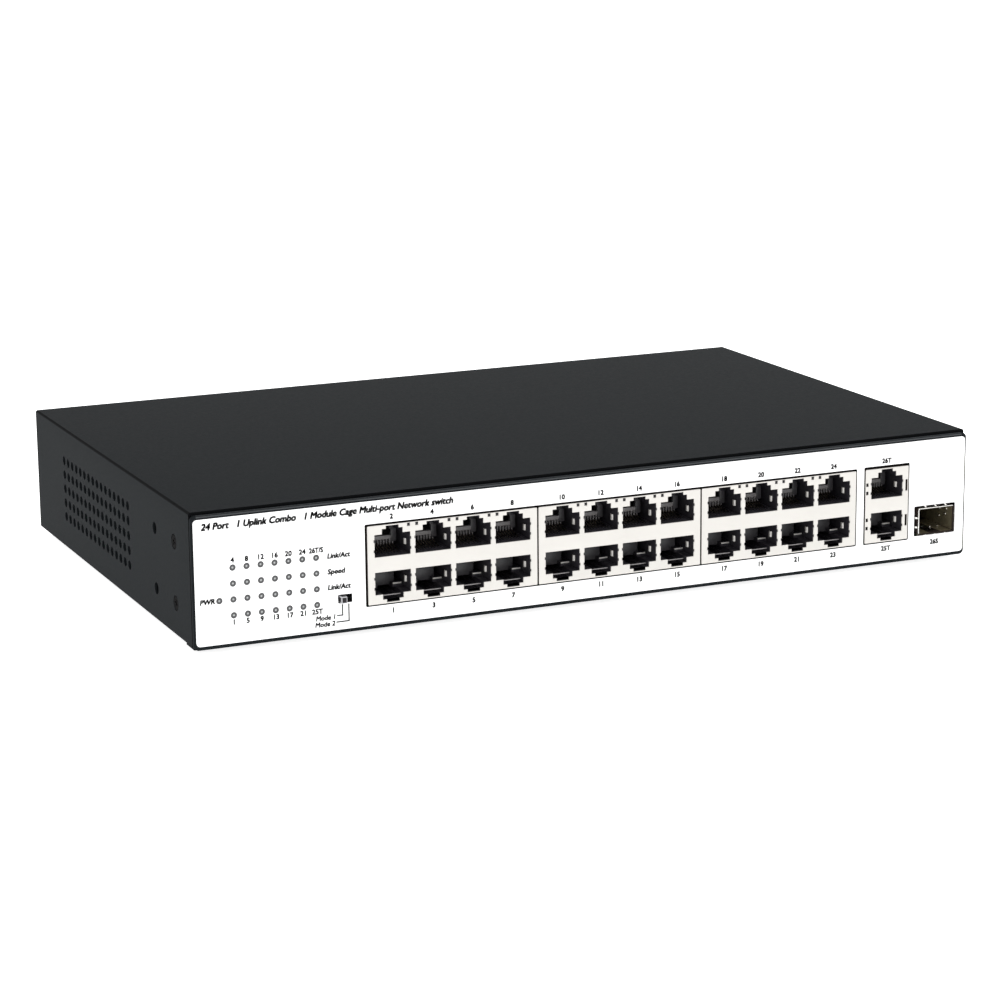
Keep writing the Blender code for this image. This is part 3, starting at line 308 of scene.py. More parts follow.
# ------------------------------------------------ shapes (millimetres in)
def circle(sides, radius, centre=(0.0, 0.0)):
    """Points round a circle, anticlockwise."""
    step = 2 * math.pi / sides
    return [(centre[0] + radius * math.cos(step * i), centre[1] + radius * math.sin(step * i))
            for i in range(sides)]


def rectangle(half, centre=(0.0, 0.0)):
    """Four corners, anticlockwise, from the half sizes."""
    (a, b), (u, v) = half, centre
    return [(u - a, v - b), (u + a, v - b), (u + a, v + b), (u - a, v + b)]


def rounded_rectangle(half, centre, radius, steps=6):
    """A rectangle with quarter-circle corners, anticlockwise."""
    points = []
    for quarter, (a, b) in enumerate(((1, 1), (-1, 1), (-1, -1), (1, -1))):
        u = centre[0] + a * (half[0] - radius)
        v = centre[1] + b * (half[1] - radius)
        for i in range(steps + 1):
            angle = math.pi / 2 * (quarter + i / steps)
            points.append((u + radius * math.cos(angle), v + radius * math.sin(angle)))
    return points


def offset(points, distance):
    """Move an outline's edges sideways by distance: inwards where it runs anticlockwise."""
    moved = []
    count = len(points)
    for i in range(count):
        before, here, after = (Vector(points[(i + k) % count]) for k in (-1, 0, 1))
        first, second = (here - before).normalized(), (after - here).normalized()
        normals = Vector((-first.y, first.x)), Vector((-second.y, second.x))
        middle = normals[0] + normals[1]
        moved.append(tuple(here + middle * (distance / max(0.2, normals[0].dot(middle)))))
    return moved


def edges_of(faces):
    """The faces' edges, each once, in the same order every run."""
    return list(dict.fromkeys(edge for face in faces for edge in face.edges))


PLANES = {
    # how an outline's two coordinates and a depth become a point
    "front": lambda u, v, d: (u, d, v),
    "side": lambda u, v, d: (d, u, v),
}


def place_piece(piece, nodes=(), body=CASE):
    """Ride the piece on its body and hide the CAD nodes that it stands for."""
    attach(piece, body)
    if nodes:
        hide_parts(*nodes)


class Shape:
    """Collects closed solids in one mesh, in millimetres."""

    def __init__(self):
        self.bm = bmesh.new()

    def points(self, ring):
        """New vertices at a ring of points."""
        return [self.bm.verts.new(Vector(point) * MM) for point in ring]

    def skin(self, rings, smooth=True, caps=True):
        """Join a stack of rings; caps closes both ends."""
        loops = [self.points(ring) for ring in rings]
        made = []
        for low, high in zip(loops, loops[1:]):
            for i in range(len(low)):
                j = (i + 1) % len(low)
                face = self.bm.faces.new((low[i], low[j], high[j], high[i]))
                face.smooth = smooth
                made.append(face)
        if caps:
            made += [self.bm.faces.new(loops[0]), self.bm.faces.new(loops[-1])]
            bmesh.ops.recalc_face_normals(self.bm, faces=made)
        return loops, made

    def prism(self, outline, plane, start, end):
        """An extruded outline with sharp rims."""
        place = PLANES[plane]
        self.skin([[place(u, v, d) for u, v in outline] for d in (start, end)], smooth=False)

    def plate(self, outlines, plane, start, end, edge=0.0):
        """A flat sheet with holes: outlines[0] is its edge, the rest are holes, all anticlockwise.

        The face at start has its rims rounded by edge.
        """
        place = PLANES[plane]
        sign = 1 if end > start else -1
        steps = [(0.0, 0.0)]
        if edge:
            steps = [(edge * (1 - math.sin(a)), edge * (1 - math.cos(a))) for a in
                     (math.pi / 2 * i / 3 for i in range(4))]
        faces, fronts, backs = [], [], []
        for number, outline in enumerate(outlines):
            ring = outline if number == 0 else outline[::-1]
            rings = [[place(u, v, start + sign * deep) for u, v in offset(ring, inset)]
                     for inset, deep in steps]
            rings.append([place(u, v, end) for u, v in ring])
            loops, made = self.skin(rings, smooth=True, caps=False)
            faces += made
            fronts.append(loops[0])
            backs.append(loops[-1])
        for loops in (fronts, backs):
            verts = [vert for loop in loops for vert in loop]
            for corner in geometry.tessellate_polygon([[vert.co for vert in loop] for loop in loops]):
                faces.append(self.bm.faces.new([verts[i] for i in corner]))
        bmesh.ops.recalc_face_normals(self.bm, faces=faces)

    def box(self, xs, ys, zs, edge=0.0, steps=3):
        """A cuboid between pairs of coordinates, with its edges rounded by edge."""
        ring = [(xs[0], ys[0]), (xs[1], ys[0]), (xs[1], ys[1]), (xs[0], ys[1])]
        _, faces = self.skin([[(x, y, z) for x, y in ring] for z in zs], smooth=False)
        if edge:
            rounded = bmesh.ops.bevel(self.bm, geom=edges_of(faces), offset=edge * MM, segments=steps,
                                      affect="EDGES", profile=0.5)
            for face in rounded["faces"]:
                face.smooth = True

    def turned(self, profile, sides, origin, axis):
        """A round piece from (distance along axis, radius) pairs."""
        turn = Vector((0, 0, 1)).rotation_difference(Vector(axis)).to_matrix()
        self.skin([[turn @ Vector((u, v, along)) + Vector(origin) for u, v in circle(sides, radius)]
                   for along, radius in profile])

    def ribbon(self, path, width, thick, across=(1.0, 0.0, 0.0)):
        """A flat strip of rectangular section along a path of points."""
        across = Vector(across)
        rings = []
        for i, point in enumerate(path):
            before = Vector(path[max(i - 1, 0)])
            after = Vector(path[min(i + 1, len(path) - 1)])
            up = (after - before).normalized().cross(across).normalized()
            here = Vector(point)
            rings.append([here + across * (a * width / 2) + up * (b * thick / 2)
                          for a, b in ((-1, -1), (1, -1), (1, 1), (-1, 1))])
        self.skin(rings, smooth=False)

    def can(self, low, high, front, wall, edge):
        """The sides, roof and back of a folded metal can, open below and in front."""
        depth = (front, high.y)
        self.box((low.x, low.x + wall), depth, (low.z, high.z), edge)
        self.box((high.x - wall, high.x), depth, (low.z, high.z), edge)
        self.box((low.x, high.x), depth, (high.z - wall, high.z), edge)
        self.box((low.x, high.x), (high.y - wall, high.y), (low.z, high.z), edge)

    def done(self, name, look):
        """The finished object, not yet riding on anything."""
        mesh = bpy.data.meshes.new(name)
        self.bm.to_mesh(mesh)
        self.bm.free()
        mesh.set_sharp_from_angle(angle=math.radians(35))
        mesh.materials.append(LOOKS[look])
        return add_object(name, mesh)

    def place(self, name, look, slot, nodes=(), body=CASE):
        """Finish the object and place it as a piece."""
        place_piece(self.done(name, look), nodes, body)


def most_square(polygon):
    """How nearly a face looks along an axis: 1 where it does."""
    return max(abs(part) for part in polygon.normal)


def carve(target, cutters):
    """Cut each Shape in cutters out of target and keep the result as its mesh, in its first look."""
    tools = []
    for cutter in cutters:
        tool = cutter.done("carving_tool", "powder_coat")
        tools.append(tool)
        modifier = target.modifiers.new("carve", "BOOLEAN")
        modifier.operation = "DIFFERENCE"
        modifier.object = tool
    bpy.context.view_layer.update()
    graph = bpy.context.evaluated_depsgraph_get()
    mesh = bpy.data.meshes.new_from_object(target.evaluated_get(graph))
    target.modifiers.clear()
    target.data = mesh
    for tool in tools:
        bpy.data.objects.remove(tool)
    for polygon in mesh.polygons:
        polygon.use_smooth = most_square(polygon) < 0.9999
        polygon.material_index = 0
    mesh.set_sharp_from_angle(angle=math.radians(30))
    while len(mesh.materials) > 1:
        mesh.materials.pop()
    return target


# ------------------------------------------------ shared outlines
def led_places():
    """The (x, z) of each lamp, row by row from the top left, and of the power lamp last."""
    places = [(LED_FIRST_X + LED_PITCH_X * column, LED_TOP_Z - LED_PITCH_Z * row)
              for row in range(LED_ROWS) for column in range(LED_COLUMNS)]
    places.append((LED_FIRST_X - LED_PITCH_X, LED_TOP_Z - LED_PITCH_Z * POWER_LED_ROW))
    return places


def port_outline(x, row, grow=0.0, notches=False):
    """A port's opening, anticlockwise: a rectangle with two latch steps on its outer side.

    row is 1 for the upper ports and -1 for the lower ones; notches adds two nicks in each side.
    """
    half, side = PORT_HEIGHT / 2 + grow, PORT_WIDTH / 2 + grow
    right = [(side, -half)]
    if notches:
        for level in NOTCH_LEVELS:
            top = level + NOTCH_HEIGHT
            right += [(side, level), (side + NOTCH_DEPTH, level), (side + NOTCH_DEPTH, top), (side, top)]
    right.append((side, half))
    level = half
    for width, height in KEY_STEPS:
        right.append((width / 2 + grow, level))
        level += height
        right.append((width / 2 + grow, level))
    outline = right + [(-u, v) for u, v in reversed(right)]
    middle = STACK_MID + row * ROW_OFFSET
    placed = [(x + u, middle + row * v) for u, v in outline]
    return placed if row > 0 else placed[::-1]


def block_places():
    """Each jack block: suffix, family, its box, and the x of its port columns with their numbers."""
    for suffix, family, columns, first in BLOCKS:
        low, high = box_mm(f"{family}_shield{suffix}")
        centre = (low.x + high.x) / 2
        xs = [centre + PORT_PITCH * (i - (columns - 1) / 2) for i in range(columns)]
        yield suffix, family, (low, high), xs, first


def window(low, high, gaps):
    """A rounded window round a jack shield's face."""
    left, right = low.x - gaps[0], high.x + WINDOW_GAP
    bottom, top = low.z - WINDOW_GAP, high.z + gaps[1]
    return rounded_rectangle(((right - left) / 2, (top - bottom) / 2),
                             ((left + right) / 2, (bottom + top) / 2), 0.5, 3)


def front_holes(lamp_radius):
    """Outlines of all the openings in the front panel and its label."""
    first = box_mm("rj45_shield_1")[0]
    last = box_mm("rj45_shield_3")[1]
    holes = [
        window(first, last, JACKS_GAPS),
        window(*box_mm("uplink_shield"), UPLINK_GAPS),
        rounded_rectangle(CAGE_WINDOW_HALF, (CAGE_X, CAGE_Z), 0.4, 3),
        rounded_rectangle(SWITCH_SLOT_HALF, (SWITCH_X, SWITCH_Z), 0.25, 3),
    ]
    holes += [circle(HOLE_SIDES, lamp_radius, place) for place in led_places()]
    return holes


# ------------------------------------------------ enclosure
def make_cover():
    """Top cover with folded edges, round vents and screw seats; its side folds and front cut edge are
    painted near black as shade.
    """
    shape = Shape()
    ring = [(-SIDE, COVER_LOW.y), (SIDE, COVER_LOW.y), (SIDE, BACK), (-SIDE, BACK)]
    _, faces = shape.skin([[(x, y, z) for x, y in ring] for z in (COVER_LOW.z, TOP)], smooth=False)
    folds = []
    for edge in edges_of(faces):
        middle = (edge.verts[0].co + edge.verts[1].co) / 2 / MM
        if middle.z > TOP - 0.01 and middle.y > COVER_LOW.y + 0.01:
            folds.append(edge)
    bmesh.ops.bevel(shape.bm, geom=folds, offset=FOLD_RADIUS * MM, segments=FOLD_STEPS, affect="EDGES",
                    profile=0.5)
    cover = shape.done("cover_shell", "powder_coat")
    inner = SIDE - SHEET
    hollow = Shape()
    hollow.box((-inner, inner), (COVER_LOW.y - 5, BACK - SHEET), (COVER_LOW.z - 5, TOP - SHEET), 0.5, 2)
    below_lip = Shape()
    below_lip.box((-inner, inner), (BACK - 4, BACK + 3), (COVER_LOW.z - 6, TOP - LIP_HEIGHT))
    holes = Shape()
    through = (-SIDE - 5, SIDE + 5)
    for column in range(VENT_COLUMNS):
        for row in range(VENT_ROWS):
            centre = (VENT_LAST_Y - VENT_PITCH * column, VENT_TOP_Z - VENT_PITCH * row)
            holes.prism(circle(VENT_SIDES, VENT_RADIUS, centre), "side", *through)
    for y, radius in zip(EAR_HOLE_Y, (SCREW_SEAT_RADIUS, EAR_HOLE_RADIUS)):
        for z in EAR_HOLE_Z:
            holes.prism(circle(HOLE_SIDES, radius, (y, z)), "side", *through)
    for x in (-REAR_SCREW_X, REAR_SCREW_X):
        holes.prism(circle(HOLE_SIDES, SHANK_HOLE_RADIUS, (x, REAR_SCREW_Z)), "front", BACK - 6, BACK + 3)
    carve(cover, (hollow, below_lip, holes))
    # the side folds and the front cut edge are painted near black as shade
    cover.data.materials.append(LOOKS["painted_edge_shade"])
    for polygon in cover.data.polygons:
        facing, middle = polygon.normal, polygon.center / MM
        shaded_fold = abs(facing.x) > 0.2 and facing.z > 0.2
        shaded_cut_edge = facing.y < -0.9 and middle.y < COVER_LOW.y + 0.1
        polygon.material_index = int(shaded_fold or shaded_cut_edge)
    place_piece(cover, ["top_cover"])


def make_front_panel():
    """The front pan: its face, the flanges that run back inside the cover, and its top bend, painted
    lighter as a highlight.
    """
    outline = rounded_rectangle(*front_of(PANEL_LOW, PANEL_HIGH), PANEL_CORNER, 8)
    shape = Shape()
    shape.plate([outline] + front_holes(LED_PANEL_RADIUS), "front", PANEL_LOW.y, PANEL_RIM_REAR,
                edge=0.18)
    inner, outer = TRAY_HIGH.x, SIDE - 0.25
    overlap = 0.3                      # of each flange and the face
    rear, low, high = PANEL_REACH["side"], TRAY_LOW.z + 1.1, PANEL_HIGH.z - 0.4
    flange = rectangle(((rear - PANEL_RIM_REAR) / 2 + overlap, (high - low) / 2),
                       ((rear + PANEL_RIM_REAR) / 2 - overlap, (high + low) / 2))
    holes = [circle(HOLE_SIDES, SHANK_HOLE_RADIUS, (y, z)) for y in EAR_HOLE_Y for z in EAR_HOLE_Z]
    for sign in (-1, 1):
        shape.plate([flange] + holes, "side", sign * inner, sign * (inner - SHEET))
    shape.box((-inner, inner), (PANEL_RIM_REAR - overlap, PANEL_REACH["top"]),
              (PANEL_HIGH.z - SHEET, PANEL_HIGH.z - 0.02))
    shape.box((-outer, outer), (PANEL_RIM_REAR - overlap, PANEL_REACH["bottom"]),
              (BOTTOM + 0.02, BOTTOM + SHEET), 0.2)
    shape.place("front_pan", "powder_coat", "painted_steel", ["front_panel"])
    # the top bend is painted lighter than the pan as a highlight
    bend = Shape()
    bend.box((PANEL_CORNER - SIDE, SIDE - PANEL_CORNER), (PANEL_LOW.y - 0.03, PANEL_RIM_REAR),
             (PANEL_HIGH.z - 0.92, PANEL_HIGH.z + 0.02), 0.35, 4)
    bend.place("front_pan_bend", "painted_rim_highlight", "painted_steel")


def make_label():
    """The white printed film on the front panel."""
    bottom, top = LABEL_LOW.z + LABEL_TRIM["bottom"], LABEL_HIGH.z - LABEL_TRIM["top"]
    half = ((LABEL_HIGH.x - LABEL_LOW.x) / 2 - LABEL_TRIM["side"], (top - bottom) / 2)
    centre = ((LABEL_HIGH.x + LABEL_LOW.x) / 2, (top + bottom) / 2)
    outline = rounded_rectangle(half, centre, LABEL_CORNER, 8)
    shape = Shape()
    shape.plate([outline] + front_holes(LED_HOLE_RADIUS), "front", LABEL_LOW.y, LABEL_HIGH.y, edge=0.05)
    shape.place("label_film", "label_film", "label", ["front_label"])


# ------------------------------------------------ printed legends
def legend(name, words, x, z, height, bold=0.0, slant=0.0, align="CENTER", width=None):
    """A line of print on the label, centred in height on z.

    height is its capitals' height, bold moves its outlines outwards and width stretches it to fit.
    """
    curve = bpy.data.curves.new(name, "FONT")
    curve.body = words
    curve.align_x = align
    curve.align_y = "CENTER"
    curve.size = height / CAPITAL_SHARE * MM
    curve.resolution_u = 2
    curve.shear = slant
    writing = add_object(name, curve)
    bpy.context.view_layer.update()
    stretch = width * MM / writing.dimensions.x if width else 1.0
    mesh = bpy.data.meshes.new_from_object(writing.evaluated_get(bpy.context.evaluated_depsgraph_get()))
    bpy.data.objects.remove(writing)
    upright = (
        Matrix.Translation(Vector((x, FRONT - INK_LIFT, z)) * MM)
        @ Matrix.Rotation(math.pi / 2, 4, "X")
        @ Matrix.Diagonal((stretch, 1.0, 1.0, 1.0))
    )
    mesh.transform(upright)
    printed = Shape()
    for across, up in ((-1, -1), (1, -1), (1, 1), (-1, 1)):
        start = len(printed.bm.verts)
        printed.bm.from_mesh(mesh)
        moved = list(printed.bm.verts)[start:]
        bmesh.ops.translate(printed.bm, verts=moved, vec=Vector((across * bold, 0.0, up * bold)) * MM)
    printed.place(name, "ink", "label")


def leader(name, line_x, drop, reach):
    """The bent line from a word beside the slide switch up to the switch."""
    ys = (FRONT - INK_LIFT, FRONT - 0.005)
    line = Shape()
    line.box((SWITCH_X + line_x - LEADER_HALF, SWITCH_X + line_x + LEADER_HALF), ys,
             (SWITCH_Z - drop, SWITCH_Z - 1.75))
    line.box((SWITCH_X - reach, SWITCH_X + line_x - LEADER_HALF), ys,
             (SWITCH_Z - drop, SWITCH_Z - drop + 2 * LEADER_HALF))
    line.place(name, "ink", "label")


def make_legends():
    """All the print: the title line, port and lamp numbers, and the words beside the lamps."""
    legend("legend_title", "24 Port   1 Uplink Combo   1 Module Cage Multi-port Network switch",
           LABEL_LOW.x + 2.8, LABEL_HIGH.z - 2.75, 1.98, TITLE_BOLD, TITLE_SLANT, "LEFT", 84.4)
    for _, family, (low, high), xs, first in block_places():
        mark = "T" if family == "uplink" else ""
        for column, x in enumerate(xs):
            odd = first + 2 * column
            legend(f"legend_port_{odd}", f"{odd}{mark}", x, low.z - 2.55, SMALL_PRINT, PORT_BOLD)
            legend(f"legend_port_{odd + 1}", f"{odd + 1}{mark}", x - 0.2, high.z + 2.45, SMALL_PRINT,
                   PORT_BOLD)
    legend("legend_module", "26S", CAGE_X, CAGE_LOW.z - 3.1, SMALL_PRINT, PORT_BOLD)
    bottom_z = LED_TOP_Z - LED_PITCH_Z * (LED_ROWS - 1)
    for column in range(LED_COLUMNS):
        x = LED_FIRST_X + LED_PITCH_X * column
        last = column == LED_COLUMNS - 1
        legend(f"legend_lamp_top_{column + 1}", "26T/S" if last else str(4 + 4 * column), x,
               LED_TOP_Z + 2.35, SMALL_PRINT, LAMP_BOLD, width=4.6 if last else None)
        legend(f"legend_lamp_low_{column + 1}", "25T" if last else str(1 + 4 * column), x,
               bottom_z - 2.25, SMALL_PRINT, LAMP_BOLD)
    right = LED_FIRST_X + LED_PITCH_X * (LED_COLUMNS - 1) + 3.6
    for row, (words, width) in enumerate((("Link/Act", 7.6), ("Speed", 5.9), ("Link/Act", 7.6))):
        legend(f"legend_row_{row + 1}", words, right, LED_TOP_Z - LED_PITCH_Z * row, SMALL_PRINT,
               ROW_BOLD, WORD_SLANT, "LEFT", width)
    legend("legend_power", "PWR", LED_FIRST_X - LED_PITCH_X - 4.0,
           LED_TOP_Z - LED_PITCH_Z * POWER_LED_ROW, SMALL_PRINT, ROW_BOLD, WORD_SLANT, width=4.8)
    for number, line_x, drop, reach in ((1, -1.0, 5.5, 2.9), (2, 1.15, 7.6, 3.2)):
        legend(f"legend_mode_{number}", f"Mode {number}", SWITCH_X - reach - 0.4, SWITCH_Z - drop - 0.1,
               1.45, MODE_BOLD, WORD_SLANT, "RIGHT")
        leader(f"legend_leader_{number}", line_x, drop, reach)


# ------------------------------------------------ jacks
def shield_outlines(low, high, xs, uplink):
    """A jack shield's front: its edge, its ports and the small slots between or beside them."""
    outlines = [rounded_rectangle(*front_of(low, high), 0.3, 3)]
    outlines += [port_outline(x, row, notches=True) for x in xs for row in (1, -1)]
    for left, right in zip(xs, xs[1:]):
        for side in (-1.4, 1.4):
            outlines.append(rectangle((0.5, 0.52), ((left + right) / 2 + side, high.z - 0.70)))
    if uplink:
        for row in (1, -1):
            z = STACK_MID + row * ROW_OFFSET
            outlines.append(rectangle((0.42, 2.0), (high.x - 0.72, z)))
            for level in (-1.45, 1.45):
                outlines.append(rectangle((0.45, 0.6), (low.x + 0.72, z + level)))
    return outlines


def make_jack_block(suffix, family, box, xs):
    """A stack of jacks: shield, moulding with its carrier and inserts, contact wires and springs."""
    low, high = box
    uplink = family == "uplink"
    front = Shape()
    front.plate(shield_outlines(low, high, xs, uplink), "front", low.y, low.y + SHIELD_SHEET, edge=0.08)
    front.place(f"{family}_face{suffix}", "tin_plate", "shield_metal", [f"{family}_shield{suffix}"])
    shell = Shape()
    shell.can(low, high, low.y + SHIELD_SHEET * 0.5, SHIELD_SHEET, 0.08)
    # the shield's walls are painted dark as shade
    shell.place(f"{family}_shell{suffix}", "shaded_tin", "shield_metal")

    half, centre = front_of(low, high)
    block = rectangle((half[0] - (1.35 if uplink else 0.5), half[1] - 0.5), centre)
    start = low.y + SHIELD_SHEET + 0.05
    moulding = Shape()
    holes = [port_outline(x, row, grow=-0.05) for x in xs for row in (1, -1)]
    moulding.plate([block] + holes, "front", start, HOUSING_REAR, edge=0.05)
    wires, springs, inserts, blocks = Shape(), Shape(), Shape(), Shape()
    for x in xs:
        for row in (1, -1):
            add_port_furniture(moulding, x, row, start)
            add_contacts(wires, x, row)
            add_ground_springs(springs, x, row, low.y)
            add_insert(inserts, x, row)
        add_blocks(blocks, x)
        add_latch_ledge(springs, x)
    moulding.place(f"{family}_moulding{suffix}", "jack_nylon", "black_plastic",
                   [f"{family}_housing{suffix}"])
    inserts.place(f"{family}_inserts{suffix}", "insert_nylon", "black_plastic")
    blocks.place(f"{family}_blocks{suffix}", "block_nylon", "black_plastic")
    carrier_low, carrier_high = box_mm(f"{family}_contacts{suffix}")
    carrier = Shape()
    carrier.box((carrier_low.x, carrier_high.x), (HOUSING_REAR + 0.3, carrier_high.y),
                (carrier_low.z, carrier_high.z), 0.2)
    carrier.place(f"{family}_carrier{suffix}", "black_nylon", "black_plastic")
    wires.place(f"{family}_wires{suffix}", "gold_flash", "gold_contact", [f"{family}_contacts{suffix}"])
    springs.place(f"{family}_ground_springs{suffix}", "tin_plate", "shield_metal")


def rib_places(x):
    """The x of the ribs that part the contacts of the port at x."""
    return [x + (i - CONTACTS / 2) * CONTACT_PITCH for i in range(CONTACTS + 1)]


def add_insert(shape, x, row):
    """The grey comb behind a port's contacts: barred above in upper ports, with a sill in lower ones."""
    middle = STACK_MID + row * ROW_OFFSET
    if row > 0:
        shape.box((x - BLOCK_HALF, x + POST_X[0]), (INSERT_Y, INSERT_Y + INSERT_DEPTH),
                  (middle - 0.7, middle + 0.6), 0.12)
    for rib_x in rib_places(x):
        zs = sorted((middle - row * 2.3, middle - row * 0.65))
        shape.box((rib_x - 0.13, rib_x + 0.13), (INSERT_Y + 0.15, INSERT_Y + 1.2), zs)
    if row < 0:
        notch = middle - PORT_HEIGHT / 2
        shape.box((x - 3.2, x + 3.2), (FRONT + 1.6, FRONT + 1.9), (notch - 0.95, notch - 0.65), 0.05)


def add_blocks(shape, x):
    """The moulded blocks deep in a column of ports: posts above, one broad block below."""
    upper, lower = STACK_MID + ROW_OFFSET, STACK_MID - ROW_OFFSET
    ys = (INSERT_Y, INSERT_Y + INSERT_DEPTH)
    for side in (-1, 1):
        xs = sorted((x + side * POST_X[0], x + side * POST_X[1]))
        shape.box(xs, ys, (upper - 1.6, upper + PORT_HEIGHT / 2), 0.1)
    shape.box((x - BLOCK_HALF, x + BLOCK_HALF), ys, (lower - 3.4, lower + 0.7), 0.12)


def add_latch_ledge(shape, x):
    """The tinned face of the ledge at the right of a lower port's latch."""
    floor = STACK_MID - ROW_OFFSET - PORT_HEIGHT / 2
    shape.box((x + LEDGE_X, x + 5.6), (LEDGE_Y, LEDGE_Y + 0.3), (floor + 1.05, floor + LEDGE_RISE), 0.05)


def add_port_furniture(shape, x, row, start):
    """The comb that parts a port's contacts, and the ledges beside its latch slot."""
    contact_wall = STACK_MID + row * (ROW_OFFSET - PORT_HEIGHT / 2)
    comb_start = HOUSING_REAR - 4.5
    for rib_x in rib_places(x):
        for rise, ys in ((2.6, (comb_start, HOUSING_REAR)), (0.5, (start + 2.0, comb_start))):
            zs = sorted((contact_wall - row * 0.1, contact_wall + row * rise))
            shape.box((rib_x - 0.17, rib_x + 0.17), ys, zs)
    latch_wall = STACK_MID + row * (ROW_OFFSET + PORT_HEIGHT / 2)
    rise, ledge_y = (0.9, start + 9.0) if row > 0 else (LEDGE_RISE - 0.1, LEDGE_Y + 0.3)
    for side in (-1, 1):
        xs = sorted((x + side * LEDGE_X, x + side * 6.1))
        zs = sorted((latch_wall - row * rise, latch_wall + row * 0.05))
        shape.box(xs, (ledge_y, HOUSING_REAR), zs, 0.15)


def add_contacts(shape, x, row):
    """Eight sprung wires that slope from the contact wall towards the back of the port."""
    wall = STACK_MID + row * (ROW_OFFSET - PORT_HEIGHT / 2)
    bends = ((HOUSING_REAR + 0.4, 1.95), (HOUSING_REAR - 3.0, 1.9), (HOUSING_REAR - 6.0, 1.6),
             (FRONT + 4.6, 0.45), (FRONT + 4.0, 0.30))
    for i in range(CONTACTS):
        wire_x = x + (i - (CONTACTS - 1) / 2) * CONTACT_PITCH
        shape.ribbon([(wire_x, y, wall + row * rise) for y, rise in bends], 0.34, 0.24)


def add_ground_springs(shape, x, row, face):
    """A bent finger on each side wall that touches the plug's shield."""
    z = STACK_MID + row * ROW_OFFSET - 0.4
    for side in (-1, 1):
        wall = x + side * (PORT_WIDTH / 2)
        bends = ((0.20, 3.6), (-0.40, 4.1), (-0.50, 4.5), (-0.40, 4.9), (0.20, 5.6))
        shape.ribbon([(wall + side * out, face + y, z) for out, y in bends], 1.9, 0.18,
                     across=(0.0, 0.0, 1.0))


# ------------------------------------------------ SFP cage
def make_cage():
    """The cage: rim, bright at the left and top and painted dark as shade at the right and foot, a sleeve
    behind it painted dark as shade, body with its lining painted dark olive as shade, tabs and ground
    fingers.
    """
    mouth, rear = CAGE_LOW.y, CAGE_HIGH.y
    sleeve_rear = mouth + 9.0
    outer = rounded_rectangle([part - 0.18 for part in CAGE_HALF], (CAGE_X, CAGE_Z), 0.5, 4)
    inner = rounded_rectangle([part - CAGE_WALL for part in CAGE_HALF], (CAGE_X, CAGE_Z), 0.3, 4)
    rim_shape = Shape()
    rim_shape.plate([outer, inner], "front", mouth, mouth + 0.7, edge=0.12)
    rim = rim_shape.done("sfp_cage_rim", "bright_nickel")
    # the rim's right side and foot are painted dark as shade
    rim.data.materials.append(LOOKS["shaded_tin"])
    for polygon in rim.data.polygons:
        middle = polygon.center / MM
        at_right, at_foot = CAGE_HIGH.x - 2 * CAGE_WALL, CAGE_LOW.z + 2 * CAGE_WALL
        polygon.material_index = int(middle.x > at_right or middle.z < at_foot)
    place_piece(rim, ["sfp_cage"])
    # the sleeve is painted dark as shade
    sleeve = Shape()
    sleeve.plate([outer, inner], "front", mouth + 0.7, sleeve_rear)
    sleeve.place("sfp_cage_sleeve", "shaded_tin", "cage_metal")

    # the body and its lining are painted dark olive as shade
    body = Shape()
    body.can(CAGE_LOW, CAGE_HIGH, sleeve_rear, CAGE_WALL, 0.05)
    lining = 0.05
    xs = (CAGE_LOW.x + CAGE_WALL, CAGE_HIGH.x - CAGE_WALL)
    zs = (CAGE_LOW.z + CAGE_WALL, CAGE_HIGH.z - CAGE_WALL)
    deep = (mouth + 1.0, rear - CAGE_WALL)
    body.box((xs[0], xs[0] + lining), deep, zs)
    body.box((xs[1] - lining, xs[1]), deep, zs)
    body.box(xs, deep, (zs[1] - lining, zs[1]))
    leaf_half = 2.3                    # the floor leaves room for the latch leaf
    floor = (zs[0] - 0.3, zs[0] + lining)
    body.box((xs[0], CAGE_X - leaf_half), deep, floor)
    body.box((CAGE_X + leaf_half, xs[1]), deep, floor)
    body.box(xs, (FRONT + 17.0, rear - CAGE_WALL), floor)
    body.place("sfp_cage_body", "shaded_cage_metal", "cage_metal")
    tabs = Shape()
    for y, z in ((mouth + 4.0, 2.2), (mouth + 4.6, 0.2), (mouth + 8.2, 1.6), (mouth + 8.6, -1.2)):
        tabs.box((xs[1] - 0.35, xs[1] - lining), (y, y + 1.1), (CAGE_Z + z, CAGE_Z + z + 0.6), 0.12)
    for x in (1.6, 4.7):
        tabs.box((CAGE_X + x, CAGE_X + x + 0.9), (mouth + 7.0, mouth + 7.6), (floor[1], floor[1] + 0.35),
                 0.1)
    tabs.place("sfp_cage_tabs", "bright_nickel", "cage_metal")

    fingers = Shape()
    depths = [mouth + step for step in (0.5, 1.1, 1.8, 2.8)]
    for i in (-1, 0, 1):
        for sign, edge_z in ((1, CAGE_HIGH.z), (-1, CAGE_LOW.z)):
            fingers.ribbon([(CAGE_X + 4.0 * i, y, edge_z + sign * out)
                            for y, out in zip(depths, (0.05, 0.35, 0.45, 0.1))], 0.6, 0.12)
    for rise in (-2.0, 1.3):
        for sign, edge_x in ((1, CAGE_HIGH.x), (-1, CAGE_LOW.x)):
            fingers.ribbon([(edge_x + sign * out, y, CAGE_Z + rise)
                            for y, out in zip(depths, (0.05, 0.45, 0.7, 0.1))], 0.6, 0.12,
                           across=(0.0, 0.0, 1.0))
    fingers.place("sfp_ground_fingers", "bright_nickel", "cage_metal")


